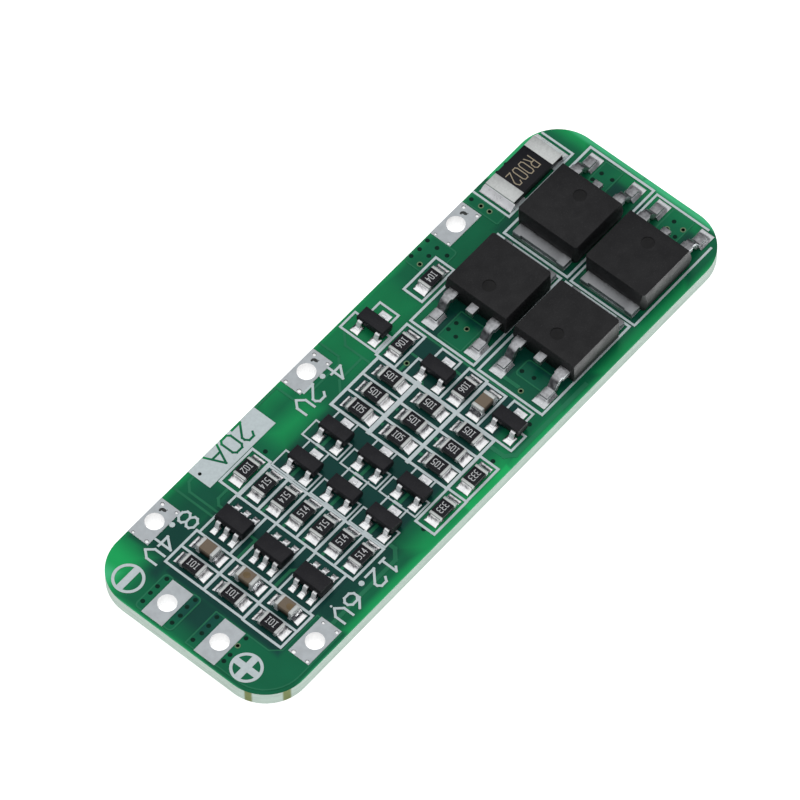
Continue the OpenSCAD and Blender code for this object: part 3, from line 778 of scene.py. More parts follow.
# Small plated holes: place, and whether its ring is bare
VIAS = [
    (1.03, 9.2, 0), (1.95, 9.06, 0), (2.83, 9.09, 0), (3.86, 9.12, 0), (1.16, 6, 0), (1.91, 6, 0),
    (2.94, 6.09, 1), (3.89, 6.03, 0), (1.14, 14.68, 0), (2.12, 14.73, 0), (2.94, 14.68, 0),
    (3.95, 14.57, 0), (1.15, 11.53, 0), (2.07, 11.46, 0), (3.03, 11.59, 0), (3.95, 11.5, 0),
    (13.12, 19.1, 0), (18.2, 16.44, 0), (20.9, 1.77, 0), (29.45, 1.64, 0), (32.12, 13.15, 1),
    (34.1, 1.64, 0), (36.1, 4.25, 1), (37.64, 5.41, 0), (37.77, 4.23, 0), (36.88, 12.68, 0),
    (37.75, 12.57, 0), (36.7, 11.74, 0), (37.86, 11.53, 1), (40.39, 19.71, 0), (41.36, 19.62, 0),
    (42.44, 19.68, 0), (40.23, 18.64, 1), (41.34, 18.6, 0), (42.38, 18.59, 0), (42.34, 17.46, 0),
    (47.94, 19.55, 0), (47.94, 18.5, 1), (47.97, 17.6, 1), (51.4, 19.6, 0), (52.5, 19.6, 0),
    (55.98, 13.1, 0), (56.94, 12.9, 0), (57, 11.8, 0), (56.16, 5.2, 1), (57.1, 5.2, 0), (55.97, 4.18, 0),
    (56.94, 4.1, 1),
]

# Copper stays this far inside the board's edge, whose corners have this radius
COPPER_IN = 0.45
CORNER = 4.0
ARC = CORNER - COPPER_IN
ARC_STEPS = 10
CORNER_ARC = [
    (CORNER - ARC * math.sin(turn), CORNER - ARC * math.cos(turn))
    for turn in (k / ARC_STEPS * math.pi / 2 for k in range(ARC_STEPS + 1))
]

# Copper sheets under the mask: outline and corner radius. All but the first are written as x0, x1, y0, y1
# and corner radius
SHEETS = [
    (CORNER_ARC + [(0.45, 9.5), (4.22, 9.5), (4.22, 3.9), (4.95, 3.05), (9.2, 3.05), (9.2, COPPER_IN)], 0.06),
    *(([(x0, y0), (x0, y1), (x1, y1), (x1, y0)], corner) for x0, x1, y0, y1, corner in (
        (0.45, 4.3, 14, 14.95, 0.35), (0.45, 4.3, 11.1, 12.1, 0.35), (35.85, 38.9, 10.5, 12.98, 0.1),
        (37.15, 38.9, 2.2, 5.72, 0.3), (39.7, 43.1, 17, 19.85, 0.3), (47.4, 48.45, 16.3, 19.85, 0.1),
        (55.6, 58.1, 11.5, 13.35, 0.15), (55.6, 58.1, 3.8, 6, 0.15),
    )),
]

# Widths of the green line round a copper sheet, and of the copper round a bare and a covered small hole
RIM = 0.13
BARE_RING = 0.09
COVERED_RING = 0.04

# Tracks under the mask: width, then the points they run through
TRACKS = [
    (0.22, (10.76, 19.85), (10.76, 15.4)),
    (0.22, (13, 19.35), (12, 19.3), (11.32, 18.62), (11.32, 15.4)),
    (0.24, (13.6, 16.42), (12.35, 16.42), (11.88, 15.95), (11.88, 15.4)),
    (0.26, (9.1, 11.5), (11.35, 11.5), (11.35, 12.1)),
    (0.28, (9.1, 7.45), (11, 7.45), (11.5, 6.95)),
    (0.36, (9.4, 1.62), (17.2, 1.62), (18, 2.35), (18, 2.9)),
    *((0.3, (x0, y), (x1, y)) for y in (13.27, 9, 4.87) for x0, x1 in ((17.6, 18.7), (21.5, 22.5))),
    *((0.3, (13.75, y), (14.3, y)) for y in (14.75, 12.85, 10.65, 8.55, 6.45, 4.4)),
    (0.22, (20.9, 19.82), (23.45, 19.82), (23.45, 18)),
    (0.2, (29.02, 19.9), (29.02, 17.9), (28.5, 17.38), (24.9, 17.38)),
    (0.22, (31.1, 19.05), (30.2, 18.15), (30.2, 15.3)),
    (0.22, (30.1, 16.3), (27.3, 16.3), (26.2, 15.25)),
    (0.26, (31.25, 13.15), (31.8, 13.15)), (0.22, (33.12, 12.85), (33.12, 13.45)),
    (0.2, (31.3, 10.75), (32.5, 11.95)), (0.2, (35.2, 3), (35.2, 15.6)),
    (0.34, (36.27, 6.4), (36.27, 4.72)), (0.24, (34.12, 9), (34.12, 9.8)),
    (0.4, (30.4, 2.6), (30.4, 1.25), (31.1, 0.6), (40, 0.6)),
    *((0.3, (x, 10.9), (x, 11.15)) for x in (26.35, 28.2)),
    *((0.3, (x, 6.55), (x, 6.9)) for x in (26.2, 28.1)),
    *((0.25, (x, y), (21.5, y)) for x, y in ((20.6, 5.2), (20.7, 9.4), (20.7, 13.5))),
]


class BATTERYBOARD_OT_laminate(bpy.types.Operator):
    """Drilled laminate with solder mask over its copper"""

    bl_idname = "battery_board.laminate"
    bl_label = "Laminate and solder mask"

    def execute(self, context):
        radius = settings().mask.via_d / MM / 2
        holes = [(x, y, radius) for x, y, bare in VIAS if bare]
        wire_holes = []
        for node in WIRE_LANDS:
            x0, x1, y0, y1 = seen_from_above(node)
            wire_holes.append(((x0 + x1) / 2, (y0 + y1) / 2, WIRE_HOLE))

        bm = copy_of("board")
        to_board = Matrix.Scale(1 / MM, 4) @ Matrix.Translation(-on_board(0, 0))
        bmesh.ops.transform(bm, matrix=to_board, verts=bm.verts)
        # Walls of the bare holes, here and in the copper sheets, get the near-black via_wall finish: painted
        # shade inside the holes
        bm = drill(bm, holes, 2)
        for face in bm.faces:
            if abs(face.normal.z) > 0.9:
                face.material_index = 0
            elif face.material_index != 2:
                face.material_index = 1
        look = ["mask_on_laminate", "laminate_cut_edge", "via_wall"]
        piece_on_board("laminate", bm, look, ["board"], smooth=30)

        bm = bmesh.new()
        rims = [sheet(bm, outline, BOARD_TOP, COPPER_TOP, corner) for outline, corner in SHEETS]
        bm = drill(bm, holes + wire_holes, 1)
        piece_on_board("copper_sheets", bm, ["mask_on_copper", "via_wall"])

        bm = bmesh.new()
        pen = Pen(bm, BOARD_TOP, TRACK_TOP)
        for width, *points in TRACKS:
            pen.line(*points, width=width)
        # Rims of the sheets in the track green: the copper's edge, with a painted highlight along it
        pen = Pen(bm, BOARD_TOP, RIM_TOP, RIM)
        for rim in rims:
            pen.line(*rim, rim[0])
        piece_on_board("copper_tracks", bm, ["mask_on_track"])

        bm = bmesh.new()
        # Bare holes get a copper ring; covered holes get a dark green disc, painted shade of the hole under
        # the mask
        for x, y, bare in VIAS:
            if bare:
                ring(bm, (x, y), radius + BARE_RING, radius - 0.01, BOARD_TOP, BARE_TOP, 1, segments=16)
            else:
                disc(bm, (x, y), radius + COVERED_RING, BOARD_TOP, COVERED_TOP, segments=12)
        piece_on_board("via_tops", bm, ["covered_via", "bare_copper_ring"], smooth=30)
        return {"FINISHED"}


# White print

# Frames round the parts: x0, x1, y0, y1
FRAMES = [
    (5.1, 7.05, 11.66, 15.75), (7.05, 8.95, 11.66, 15.75), (5.1, 7.05, 7.43, 11.6), (7.05, 8.95, 7.43, 11.6),
    (5.02, 6.98, 3.32, 7.38), (6.98, 8.92, 3.3, 7.38),
    (13.66, 17.7, 15.44, 17.4), (21.05, 25.1, 0.76, 2.75), (25.1, 29.14, 0.8, 2.77),
    (31.15, 35.05, 13.65, 15.62), (31.15, 35.05, 6.95, 8.88), (31.1, 34.9, 4.82, 6.85),
    (37.5, 41.6, 16.08, 18.05), (35.5, 46.68, 8.8, 15.6), (35.45, 46.68, 1.42, 8.25),
    (47.12, 58.4, 8.45, 15.3),
]

# Lines: width, then the points
LINES = [
    (0.2, (9, 15.48), (11, 15.48)), (0.2, (12.6, 15.48), (13.6, 15.48)), (0.22, (9, 12.21), (13.5, 12.21)),
    (0.2, (9, 11.24), (10.95, 11.24)), (0.2, (12.6, 11.24), (13.5, 11.24)), (0.22, (9, 8), (13.5, 8)),
    (0.2, (9, 7), (10.95, 7)), (0.2, (12.6, 7), (13.5, 7)), (0.22, (8.95, 3.7), (13.5, 3.7)),
    (0.22, (13.57, 15.3), (13.57, 3), (17.36, 3), (17.36, 15.3)),
    (0.28, (13.57, 15.32), (17.4, 15.32)),
    *(
        (width, (13.57, y), (17.36, y))
        for width, y in ((0.26, 13.25), (0.24, 11.23), (0.24, 9.14), (0.26, 7.14), (0.22, 5.05))
    ),
    (0.26, (25.08, 15.3), (31.1, 15.3)), (0.42, (25.05, 11.18), (31.3, 11.18)),
    (0.34, (24.95, 6.93), (31.1, 6.93)), (0.26, (25, 2.82), (31, 2.82)),
    *(
        (width, (x, 15.3), (x, 11.2))
        for width, x in ((0.26, 25.1), (0.22, 27.1), (0.2, 29.05), (0.24, 31.05))
    ),
    *(
        (width, (x, 11.2), (x, 2.82))
        for width, x in ((0.24, 25.02), (0.24, 26.93), (0.24, 28.88), (0.26, 31.03))
    ),
    (0.2, (33.2, 19.2), (33.2, 19.66), (31.3, 19.66), (31.3, 15.85), (33.2, 15.85), (33.2, 16.1)),
    (0.2, (34.1, 18.7), (35.24, 18.7), (35.24, 16.68), (34.1, 16.68)),
    (0.2, (31.25, 12.7), (33.1, 12.7), (33.1, 12.45)), (0.24, (31.2, 12.7), (31.2, 8.95)),
    (0.2, (34, 11.8), (35.1, 11.8), (35.1, 9.78), (34, 9.78)),
    (0.2, (31.15, 4.8), (31.15, 1.12), (32.98, 1.12), (32.98, 1.45)),
    (0.2, (33.95, 4.03), (35.03, 4.03), (35.03, 2.02), (33.95, 2.02)),
    (0.2, (57, 1.17), (47.02, 1.17), (47.02, 8), (58.28, 8), (58.28, 2.5)),
    (0.2, (48.62, 19.88), (48.62, 16), (56.9, 16), (56.9, 19.3)),
]

# Half frames of the small transistors: left edge, upper and lower line. Then the length of all of them,
# that of the short ends on their right, and half the length and the width of the mark on their left edge
HALF_FRAMES = [
    (17.6, 15.22, 11.42), (17.57, 11.04, 7.2), (17.57, 6.86, 3.03),
    (21.38, 15.22, 11.42), (21.3, 11.04, 7.2), (21.3, 6.86, 3.03),
]
HALF_FRAME_LONG = 1.77
UPPER_END = 0.3
LOWER_END = 0.35
MARK_HALF = 0.3
MARK_WIDTH = 0.26

# Short lines beside their leads: x0 and x1 of each column, and the heights of each row
LEAD_COLUMNS = [(20.35, 21.4), (24.15, 25)]
LEAD_ROWS = [(14.32, 12.3), (10.12, 8.1), (5.95, 3.92)]
THIN = 0.15

# Voltage marks: y0 and y1, then each figure with its x0 and x1. Then their decimal points and a stray speck
VOLTAGES = [
    (0.88, 2.42, ("1", 16.1, 16.8), ("2", 14.42, 15.45), ("6", 11.52, 12.65), ("V", 10.04, 11.1)),
    (16.13, 17.74, ("8", 8.68, 9.78), ("4", 5.85, 6.98), ("V", 4.36, 5.42)),
    (16.2, 17.74, ("4", 27.32, 28.42), ("2", 24.5, 25.6), ("V", 23, 24.05)),
]
POINTS = [(13.76, 2.28), (8.05, 17.62), (26.7, 17.62)]
SPECK = (10.55, 2.75)

# The signs beside the output lands: centres, radii of the ring, and half the length and the width of a stroke
MINUS = (1.97, 16.98)
PLUS = (1.86, 4.21)
SIGN_RING = (1.39, 1.13)
ARM = 0.85
ARM_WIDTH = 0.62


class BATTERYBOARD_OT_marks(bpy.types.Operator):
    """White print: frames, voltages, signs and the block with the current"""

    bl_idname = "battery_board.marks"
    bl_label = "White print"

    def execute(self, context):
        look = settings().marks
        bm = bmesh.new()
        pen = Pen(bm, BOARD_TOP, PRINT_TOP, look.line / MM)
        for x0, x1, y0, y1 in FRAMES:
            pen.line((x0, y0), (x1, y0), (x1, y1), (x0, y1), (x0, y0))
        for width, *points in LINES:
            pen.line(*points, width=width)
        for left, upper, lower in HALF_FRAMES:
            right, middle = left + HALF_FRAME_LONG, (upper + lower) / 2
            pen.line(
                (right, upper - UPPER_END), (right, upper), (left, upper), (left, lower), (right, lower),
                (right, lower + LOWER_END), width=THIN,
            )
            pen.line((left + 0.03, middle - MARK_HALF), (left + 0.03, middle + MARK_HALF), width=MARK_WIDTH)
        for row in LEAD_ROWS:
            for x0, x1 in LEAD_COLUMNS:
                for y in row:
                    pen.line((x0, y), (x1, y), width=THIN)
        piece_on_board("part_frames", bm, ["white_print"])

        bm = bmesh.new()
        pen = Pen(bm, BOARD_TOP, PRINT_TOP, look.letter_line / MM)
        for row in VOLTAGES:
            pen.upside_down(*row)
        for point in POINTS:
            disc(bm, point, 0.26, BOARD_TOP, PRINT_TOP, segments=8)
        disc(bm, SPECK, 0.11, BOARD_TOP, PRINT_TOP, segments=8)
        piece_on_board("voltage_marks", bm, ["white_print"])

        bm = bmesh.new()
        pen = Pen(bm, BOARD_TOP, PRINT_TOP - 0.004, ARM_WIDTH)
        for x, y in (MINUS, PLUS):
            ring(bm, (x, y), *SIGN_RING, BOARD_TOP, PRINT_TOP)
            pen.line((x - ARM, y), (x + ARM, y))
        pen.line((PLUS[0], PLUS[1] - ARM), (PLUS[0], PLUS[1] + ARM))
        piece_on_board("plus_and_minus_signs", bm, ["white_print"])

        bm = bmesh.new()
        block(bm, (12.66, 17.58, BOARD_TOP), (20.8, 19.96, PRINT_TOP))
        pen = Pen(bm, BOARD_TOP, PRINT_TOP + 0.006, 0.2, 1)
        pen.upside_down(18.14, 19.86, ("A", 14.5, 16.1), ("0", 16.4, 17.5), ("2", 17.95, 18.95))
        # A near-black disc on the print block where a covered hole lies: painted shade of the hole
        disc(bm, (13.12, 19.1), 0.16, BOARD_TOP, PRINT_TOP + 0.004, 2)
        piece_on_board("current_mark", bm, ["white_print", "mask_on_laminate", "via_wall"])
        return {"FINISHED"}


# Lands and solder


class BATTERYBOARD_OT_lands(bpy.types.Operator):
    """Tinned lands, and the small bumps of tin on the outer four"""

    bl_idname = "battery_board.lands"
    bl_label = "Tinned lands"

    def execute(self, context):
        for node in WIRE_LANDS:
            paint_node(node, "wire_land")
        paint_node("component_lands", "tinned_land")
        bm = bmesh.new()
        chance = random.Random(11)
        for node in WIRE_LANDS[2:]:
            x0, x1, y0, y1 = seen_from_above(node)
            for x, y in (
                (x0 + 0.2, y0 + 0.3), (x0 + 0.2, y1 - 0.42), (x1 - 0.32, y0 + 0.25), (x1 - 0.35, y1 - 0.48),
            ):
                size = chance.uniform(0.13, 0.2)
                dome(bm, (x + chance.uniform(-0.05, 0.05), y, LANDS_TOP), (size, size * 1.1, 0.035))
            if node != "battery_tap_12v6":
                x, y = (x0 + x1) / 2 + 1.3, (y0 + y1) / 2 + 0.14
                dome(bm, (x, y, LANDS_TOP - 0.004), (0.17, 0.3, 0.012), 1)
                dome(bm, (x - 0.15, y + 0.22, LANDS_TOP - 0.003), (0.2, 0.13, 0.012), 1)
                dome(bm, (x + 0.16, y - 0.22, LANDS_TOP - 0.003), (0.06, 0.05, 0.008), 1)
        piece_on_board("land_tin_bumps", bm, ["tin_bump", "flux_mark"], smooth=60)
        return {"FINISHED"}


# Solder is rounded off this near the land's edge and reaches this far into the land
EDGE_ROUND = 0.1
INTO_LAND = 0.004


def solder_joint(bm, place, land, foot_half, rise, reach, film, cells=9, hollow=1.7, index=0):
    """Solder on a land: a thin skin that curves up to the foot or end face it holds.

    Local X runs outwards from the part, and the land is x0, x1, y0, y1. The foot ends at X = 0 and is
    2 foot_half wide. The skin is film thick and climbs by rise within reach of the foot, along a hollow
    curve of that power.
    """
    x0, x1, y0, y1 = land
    grid = bmesh.ops.create_grid(bm, x_segments=cells, y_segments=cells, size=1)["verts"]
    for vert in grid:
        u, v = (math.sin(c * math.pi / 2) for c in vert.co.xy)
        x, y = x0 + (x1 - x0) * (u + 1) / 2, y0 + (y1 - y0) * (v + 1) / 2
        away = math.hypot(max(0.0, x), max(0.0, abs(y) - foot_half))
        climb = max(0.0, 1 - away / reach) ** hollow
        to_edge = min(x1 - x, y1 - y, y - y0, EDGE_ROUND) / EDGE_ROUND
        rim = math.sqrt(max(0.0, 1 - (1 - to_edge) ** 2))
        vert.co = (x, y, (film + rise * climb) * rim)
    border = [edge for edge in {e for v in grid for e in v.link_edges} if edge.is_boundary]
    skirt = bmesh.ops.extrude_edge_only(bm, edges=border)["geom"]
    base = only(bmesh.types.BMVert, skirt)
    for vert in base:
        vert.co.z = -INTO_LAND
    bottom = [edge for edge in only(bmesh.types.BMEdge, skirt) if edge.is_boundary]
    bmesh.ops.contextual_create(bm, geom=bottom)
    bmesh.ops.recalc_face_normals(bm, faces=paint(faces_of(grid + base), index))
    bmesh.ops.transform(bm, matrix=place, verts=grid + base)


class BATTERYBOARD_OT_solder(bpy.types.Operator):
    """Solder joints, each placed by the CAD model's fillet and the land under it"""

    bl_idname = "battery_board.solder"
    bl_label = "Solder joints"

    def execute(self, context):
        lands, fillets = merged("component_lands"), merged("solder_joints")
        boxes = [corners(shell) for shell in islands(lands)]
        chance = random.Random(5)
        bm = bmesh.new()
        in_order = sorted(islands(fillets), key=lambda shell: tuple(round(c, 6) for c in corners(shell)[0]))
        for shell in in_order:
            low, high = corners(shell)
            centre = (low + high) / 2
            crest = [v.co for v in shell if v.co.z > high.z - 1e-6]
            towards = sum(crest, Vector()) / len(crest) - centre
            along = 0 if abs(towards.x) > abs(towards.y) else 1
            out = Vector()
            out[along] = math.copysign(1, towards[along])
            out.negate()
            under = [
                box for box in boxes if all(box[0][k] - 1e-5 < centre[k] < box[1][k] + 1e-5 for k in (0, 1))
            ]
            if not under:
                raise RuntimeError("a fillet has no land under it")
            land = min(under, key=lambda box: (box[1] - box[0]).length)
            run, width = (high - low)[along] / MM, (high - low)[1 - along] / MM
            rise = (high.z - low.z) / MM * chance.uniform(0.8, 1.0)
            face = centre - out * run * MM / 2
            turn = Matrix.Rotation(math.atan2(out.y, out.x), 4, "Z")
            place = Matrix.Translation((face.x, face.y, LANDS_TOP * MM)) @ turn @ Matrix.Scale(MM, 4)
            ends = [place.inverted() @ corner for corner in land]
            (x0, x1), (y0, y1) = (sorted(end[k] for end in ends) for k in (0, 1))
            joint = functools.partial(solder_joint, bm, place, foot_half=width / 2)
            # Drain tabs, the shunt, chips, power legs, the single leads of small transistors, all other leads
            if y1 - y0 > 4:
                # Drain tabs: a thin film in dark green, painted shadow along the tab's edge
                joint((-0.04, 0.1, y0, y1), rise=rise * 0.3, reach=0.1, film=0.01, cells=4, index=1)
            elif width > 2:
                joint((-0.05, x1, y0, y1), rise=rise, reach=x1, film=0.03, cells=11, hollow=1.15, index=2)
            elif width > 0.9:
                joint((-0.05, x1, y0, y1), rise=rise * 0.9, reach=run * 0.75, film=0.03)
            elif width > 0.7:
                # Power legs: solder in the darker leg_solder finish, painted shadow and painted dark
                # reflection round the feet
                joint((x0, x1, y0, y1), rise=0.3, reach=0.3, film=0.012, cells=15, hollow=1.4, index=3)
            elif out.x > 0.5 and y1 - y0 > 0.7:
                joint((x0, x1 + 0.05, y0 - 0.1, y1 + 0.1), rise=0.08, reach=0.2, film=0.02, index=2)
            else:
                joint((x0, x1, y0, y1), rise=rise * 0.8, reach=run * 0.9, film=0.03)
        lands.free()
        fillets.free()
        look = ["solder_joint", "thin_solder", "smooth_solder", "leg_solder"]
        piece("solder", bm, look, ["solder_joints"], smooth=50)
        return {"FINISHED"}


# Chips

# The value on each kind of resistor, and how it is turned on each resistor of that kind
CODES = {
    "101": [ALONG_Y] * 3,
    "102": [TURNED],
    "514": [0, 0, TURNED, 0, TURNED, TURNED],
    "105": [ALONG_Y] * 3 + [-ALONG_Y, ALONG_Y, ALONG_Y] * 2,
    "333": [TURNED] * 2,
    "106": [TURNED] * 2,
    "104": [TURNED],
}

# Resistors: length of an end cap and depth of the black coat
CAP = 0.28
COAT = 0.06

# Capacitors: length of an end cap, and where the ochre spots of the first two lie
CUP = 0.38
OCHRE_SPOTS = (-0.34, 0.08, None, None)


def chip_place(node):
    """Matrix from a chip's own millimetres, its length, width and height, and whether it is turned."""
    low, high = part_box(node)
    size = (high - low) / MM
    turned = size.y > size.x
    matrix = Matrix.Translation(((low.x + high.x) / 2, (low.y + high.y) / 2, low.z))
    matrix = matrix @ Matrix.Rotation(ALONG_Y * turned, 4, "Z") @ Matrix.Scale(MM, 4)
    return matrix, max(size.x, size.y), min(size.x, size.y), size.z, turned


def slab(bm, long, wide, low, high, offset, segments=2, index=0, x=0.0):
    """A box with rounded edges on a chip's long axis, in millimetres."""
    faces = block(bm, (x - long / 2, -wide / 2, low), (x + long / 2, wide / 2, high), index)
    bevel(bm, list({edge for face in faces for edge in face.edges}), offset, segments)


def chip(node, bm, matrix, materials):
    """Hands a drawn chip over in place of its node."""
    bmesh.ops.transform(bm, matrix=matrix, verts=bm.verts)
    piece("chip_" + node, bm, materials, [node], smooth=60)


class BATTERYBOARD_OT_resistors(bpy.types.Operator):
    """Chip resistors with their end caps, black glass and values"""

    bl_idname = "battery_board.resistors"
    bl_label = "Chip resistors"

    def execute(self, context):
        for code, turns in CODES.items():
            kind = "resistor_" + code
            nodes = sorted(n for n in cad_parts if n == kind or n.startswith(kind + "_"))
            if len(nodes) != len(turns):
                raise RuntimeError(f"{kind} has {len(nodes)} nodes")
            for node, turn in zip(nodes, turns):
                matrix, long, wide, high, turned = chip_place(node)
                bm = bmesh.new()
                under = high - COAT
                # Ceramic slab in dark grey, painted shade on its sides
                slab(bm, long - 0.06, wide - 0.04, 0.02, under - 0.01, 0.02, 1)
                for x in (CAP - long, long - CAP):
                    slab(bm, CAP, wide, 0, under + 0.012, 0.045, index=2, x=x / 2)
                slab(bm, long - 2 * CAP - 0.02, wide - 0.03, under - 0.03, high - 0.003, 0.03, index=1)
                pen = Pen(bm, high - 0.01, high - 0.0015, 0.062, 3)
                pen.word(code.replace("1", "I"), (0, 0), (0.23, 0.58), 0.13, turn - ALONG_Y * turned)
                look = ["resistor_ceramic", "resistor_coat", "end_cap", "resistor_code"]
                chip(node, bm, matrix, look)
        return {"FINISHED"}


class BATTERYBOARD_OT_capacitors(bpy.types.Operator):
    """Chip capacitors with cup-shaped end caps"""

    bl_idname = "battery_board.capacitors"
    bl_label = "Chip capacitors"

    def execute(self, context):
        nodes = sorted(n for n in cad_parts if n.startswith("capacitor_"))
        for node, spot in zip(nodes, OCHRE_SPOTS):
            matrix, long, wide, high, turned = chip_place(node)
            bm = bmesh.new()
            slab(bm, long - 0.1, wide - 0.06, 0.03, high - 0.03, 0.05)
            for x in (CUP - long, long - CUP):
                slab(bm, CUP, wide, 0, high, 0.09, 3, index=1, x=x / 2)
            if spot is not None:
                dome(bm, (spot, 0.02, high - 0.032), (0.38, 0.34, 0.006), 2)
            chip(node, bm, matrix, ["capacitor_ceramic", "end_cap", "ochre_spot"])
        return {"FINISHED"}


# Moulded packages


class BATTERYBOARD_OT_small_packages(bpy.types.Operator):
    """Small transistors and cell monitors: softened mouldings with plated leads"""

    bl_idname = "battery_board.small_packages"
    bl_label = "Small packages"

    def execute(self, context):
        for node in sorted(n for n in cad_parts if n.startswith(("transistor_", "cell_monitor_"))):
            low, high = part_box(node)
            middle = ((low + high) / 2).x
            half = (0.8 if node.startswith("cell") else 0.65) * MM + 2e-6
            bm = copy_of(node)
            paint([face for face in bm.faces if abs(face.calc_center_median().x - middle) > half], 1)
            soften_copy(
                bm, 0.045,
                lambda edge: edge.calc_length() > 0.6 * MM
                and all(face.material_index == 0 for face in edge.link_faces)
                and all(abs(vert.co.x - middle) <= half for vert in edge.verts),
            )
            piece("package_" + node, bm, ["small_moulding", "small_lead"], [node], smooth=35)
        return {"FINISHED"}


class BATTERYBOARD_OT_power_transistors(bpy.types.Operator):
    """Power transistors: speckled mouldings over plated lead frames"""

    bl_idname = "battery_board.power_transistors"
    bl_label = "Power transistors"

    def execute(self, context):
        for k in range(1, 5):
            body, metal = f"power_transistor_{k}_body", f"power_transistor_{k}_lead_frame"
            low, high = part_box(body)
            bm = copy_of(body)
            soften_copy(bm, 0.06, lambda edge: edge.calc_length() > 0.4 * MM)
            # Faces of the dimple's floor get the darker ejector_mark finish: painted shade in the recess
            for face in bm.faces:
                lies_deep = face.normal.z > 0.9 and 1e-5 < high.z - face.calc_center_median().z < 0.4 * MM
                face.material_index = int(lies_deep)
            piece("moulding_" + body, bm, ["power_moulding", "ejector_mark"], [body], smooth=35)
            bm = copy_of(metal)
            legs_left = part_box(metal)[0].x < low.x - 2 * MM
            for face in bm.faces:
                places = [vert.co.x for vert in face.verts]
                face.material_index = int(max(places) > high.x if legs_left else min(places) < low.x)
            soften_copy(bm, 0.035)
            piece("plated_" + metal, bm, ["lead_plating", "drain_tab"], [metal], smooth=35)
        return {"FINISHED"}


class BATTERYBOARD_OT_shunt(bpy.types.Operator):
    """Current shunt with wide end caps and its value"""

    bl_idname = "battery_board.shunt"
    bl_label = "Current shunt"

    def execute(self, context):
        bm = copy_of("shunt_body")
        soften_copy(bm, 0.03)
        low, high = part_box("shunt_body")
        middle = (low + high) / 2
        code = bmesh.new()
        Pen(code, 0, 0.006, 0.086, 1).word("R002", (0, 0), (0.51, 1.42), 0.26, TURNED)
        place = Matrix.Translation((middle.x - 0.2 * MM, middle.y - 0.07 * MM, high.z)) @ Matrix.Scale(MM, 4)
        bmesh.ops.transform(code, matrix=place, verts=code.verts)
        join(bm, code)
        piece("shunt_coat", bm, ["resistor_coat", "shunt_code"], ["shunt_body"], smooth=35)
        bm = copy_of("shunt_end_caps")
        soften_copy(bm, 0.05)
        piece("shunt_caps", bm, ["end_cap"], ["shunt_end_caps"], smooth=35)
        return {"FINISHED"}


# Stage

CAMERA_PLACE = (-0.23497, -0.20557, 0.49838)
CAMERA_TURN = (0.87195, 0.25366, -0.11163, -0.40360)
KEY_PLACE = Vector((0.36, 0.3, 0.72))


def area_light(name, size, power, place, turn):
    lamp = bpy.data.lights.new(name, "AREA")
    lamp.shape, lamp.energy = "RECTANGLE", power
    lamp.size, lamp.size_y = size
    thing = placed(name, lamp)
    thing.location, thing.rotation_euler = place, turn
    return thing


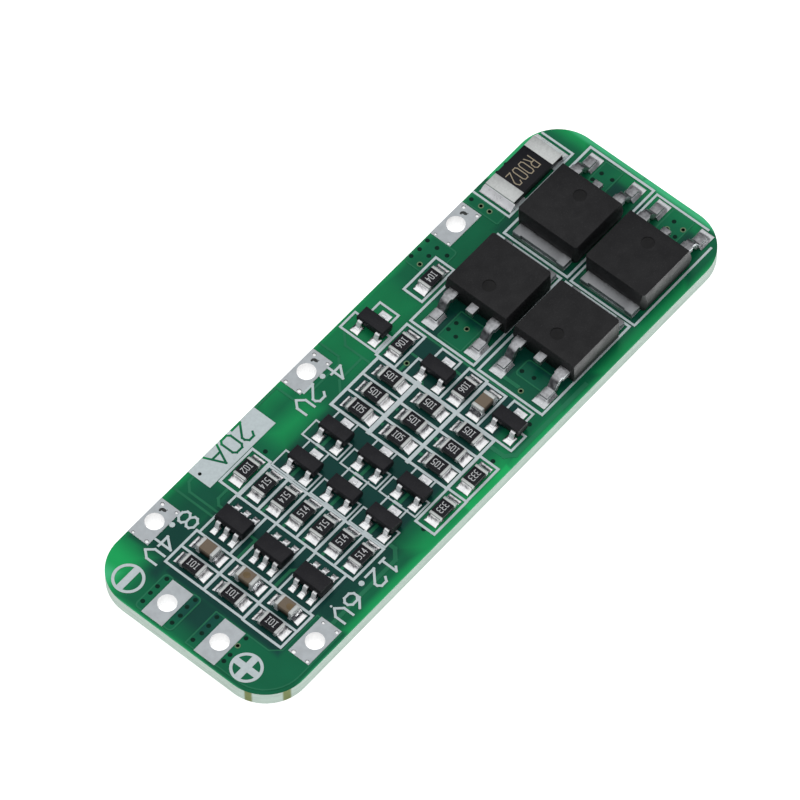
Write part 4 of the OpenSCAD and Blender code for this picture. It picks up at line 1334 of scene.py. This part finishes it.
class BATTERYBOARD_OT_stage(bpy.types.Operator):
    """Pale floor, soft light and the camera"""

    bl_idname = "battery_board.stage"
    bl_label = "Stage"

    def execute(self, context):
        look = settings().stage
        scene = context.scene
        scene.view_settings.view_transform = "Standard"
        scene.view_settings.look = "None"

        bm = bmesh.new()
        under = Matrix.Translation((0, 0, -0.00003))
        bmesh.ops.create_circle(bm, cap_ends=True, segments=64, radius=1.5, matrix=under)
        tree, shader = finish("pale_floor", roughness=0.9, specular=0.1)
        cloud = spread(tree, grain(tree, 0.2, detail=1.0))
        pale = blend(tree, cloud, tinted(look.floor, 0.5), tinted(look.floor, 0.52))
        plug(tree, shader["Base Color"], pale)
        plug(tree, shader["Emission Color"], (1, 1, 1))
        plug(tree, shader["Emission Strength"], look.glow)
        floor = placed("floor", mesh_of("floor", bm))
        floor.data.materials.append(MATERIALS["pale_floor"])
        floor.visible_glossy = False

        scene.world = bpy.data.worlds.new("soft_surroundings")
        scene.world.use_nodes = True
        tree = scene.world.node_tree
        upwards = add(tree, "SeparateXYZ", {0: add(tree, "TexCoord")["Generated"]})["Z"]
        bright = arithmetic(
            tree, "MAXIMUM", between(tree, upwards, 0.45, 0.92), between(tree, upwards, -0.5, -0.25, 0.6, 0)
        )
        mirrored = blend(tree, bright, (0.05, 0.05, 0.06), (1.4, 1.4, 1.4))
        glossy = add(tree, "LightPath")["Is Glossy Ray"]
        background = tree.nodes["Background"].inputs
        plug(tree, background["Color"], blend(tree, glossy, (1.0, 1.0, 1.0), mirrored))
        plug(tree, background["Strength"], look.sky)

        beside = (0, BOARD_LOW.y - 0.0305, 0.0001)
        table = area_light("table_glare", (0.09, 0.06), look.glare, beside, (TURNED, 0, 0))
        table.visible_camera = False
        table.visible_diffuse = False
        downwards = (-KEY_PLACE).to_track_quat("-Z", "Y").to_euler()
        key = area_light("key_light", (0.4, 0.4), look.key, KEY_PLACE, downwards)
        key.visible_glossy = False

        view = bpy.data.cameras.new("photo_camera")
        view.lens = look.lens
        view.sensor_width = 36
        view.clip_start = 0.01
        view.clip_end = 10
        camera = placed("photo_camera", view)
        camera.location = CAMERA_PLACE
        camera.rotation_mode = "QUATERNION"
        camera.rotation_quaternion = Quaternion(CAMERA_TURN).normalized()
        scene.camera = camera
        return {"FINISHED"}


OPERATORS = [
    BATTERYBOARD_OT_laminate,
    BATTERYBOARD_OT_marks,
    BATTERYBOARD_OT_lands,
    BATTERYBOARD_OT_solder,
    BATTERYBOARD_OT_resistors,
    BATTERYBOARD_OT_capacitors,
    BATTERYBOARD_OT_small_packages,
    BATTERYBOARD_OT_power_transistors,
    BATTERYBOARD_OT_shunt,
    BATTERYBOARD_OT_stage,
]


class BATTERYBOARD_PT_panel(bpy.types.Panel):
    """Settings and steps of the board"""

    bl_idname = "BATTERYBOARD_PT_panel"
    bl_label = "Battery board"
    bl_space_type = "VIEW_3D"
    bl_region_type = "UI"
    bl_category = "Board"

    def draw(self, context):
        groups = context.scene.battery_board
        for name in ("mask", "marks", "metal", "parts", "stage"):
            box = self.layout.box()
            box.label(text=name.capitalize())
            group = getattr(groups, name)
            for key in group.__annotations__:
                box.prop(group, key)
        for operator in OPERATORS:
            self.layout.operator(operator.bl_idname)


CLASSES = [
    MaskSettings,
    PrintSettings,
    MetalSettings,
    PartSettings,
    StageSettings,
    BoardSettings,
    *OPERATORS,
    BATTERYBOARD_PT_panel,
]


def register():
    for cls in CLASSES:
        bpy.utils.register_class(cls)
    bpy.types.Scene.battery_board = bpy.props.PointerProperty(type=BoardSettings)


def unregister():
    del bpy.types.Scene.battery_board
    for cls in reversed(CLASSES):
        bpy.utils.unregister_class(cls)


def main():
    register()
    steps = bpy.ops.battery_board
    steps.stage()
    steps.laminate()
    steps.marks()
    steps.lands()
    steps.solder()
    steps.resistors()
    steps.capacitors()
    steps.small_packages()
    steps.power_transistors()
    steps.shunt()


if __name__ == "__main__":
    main()
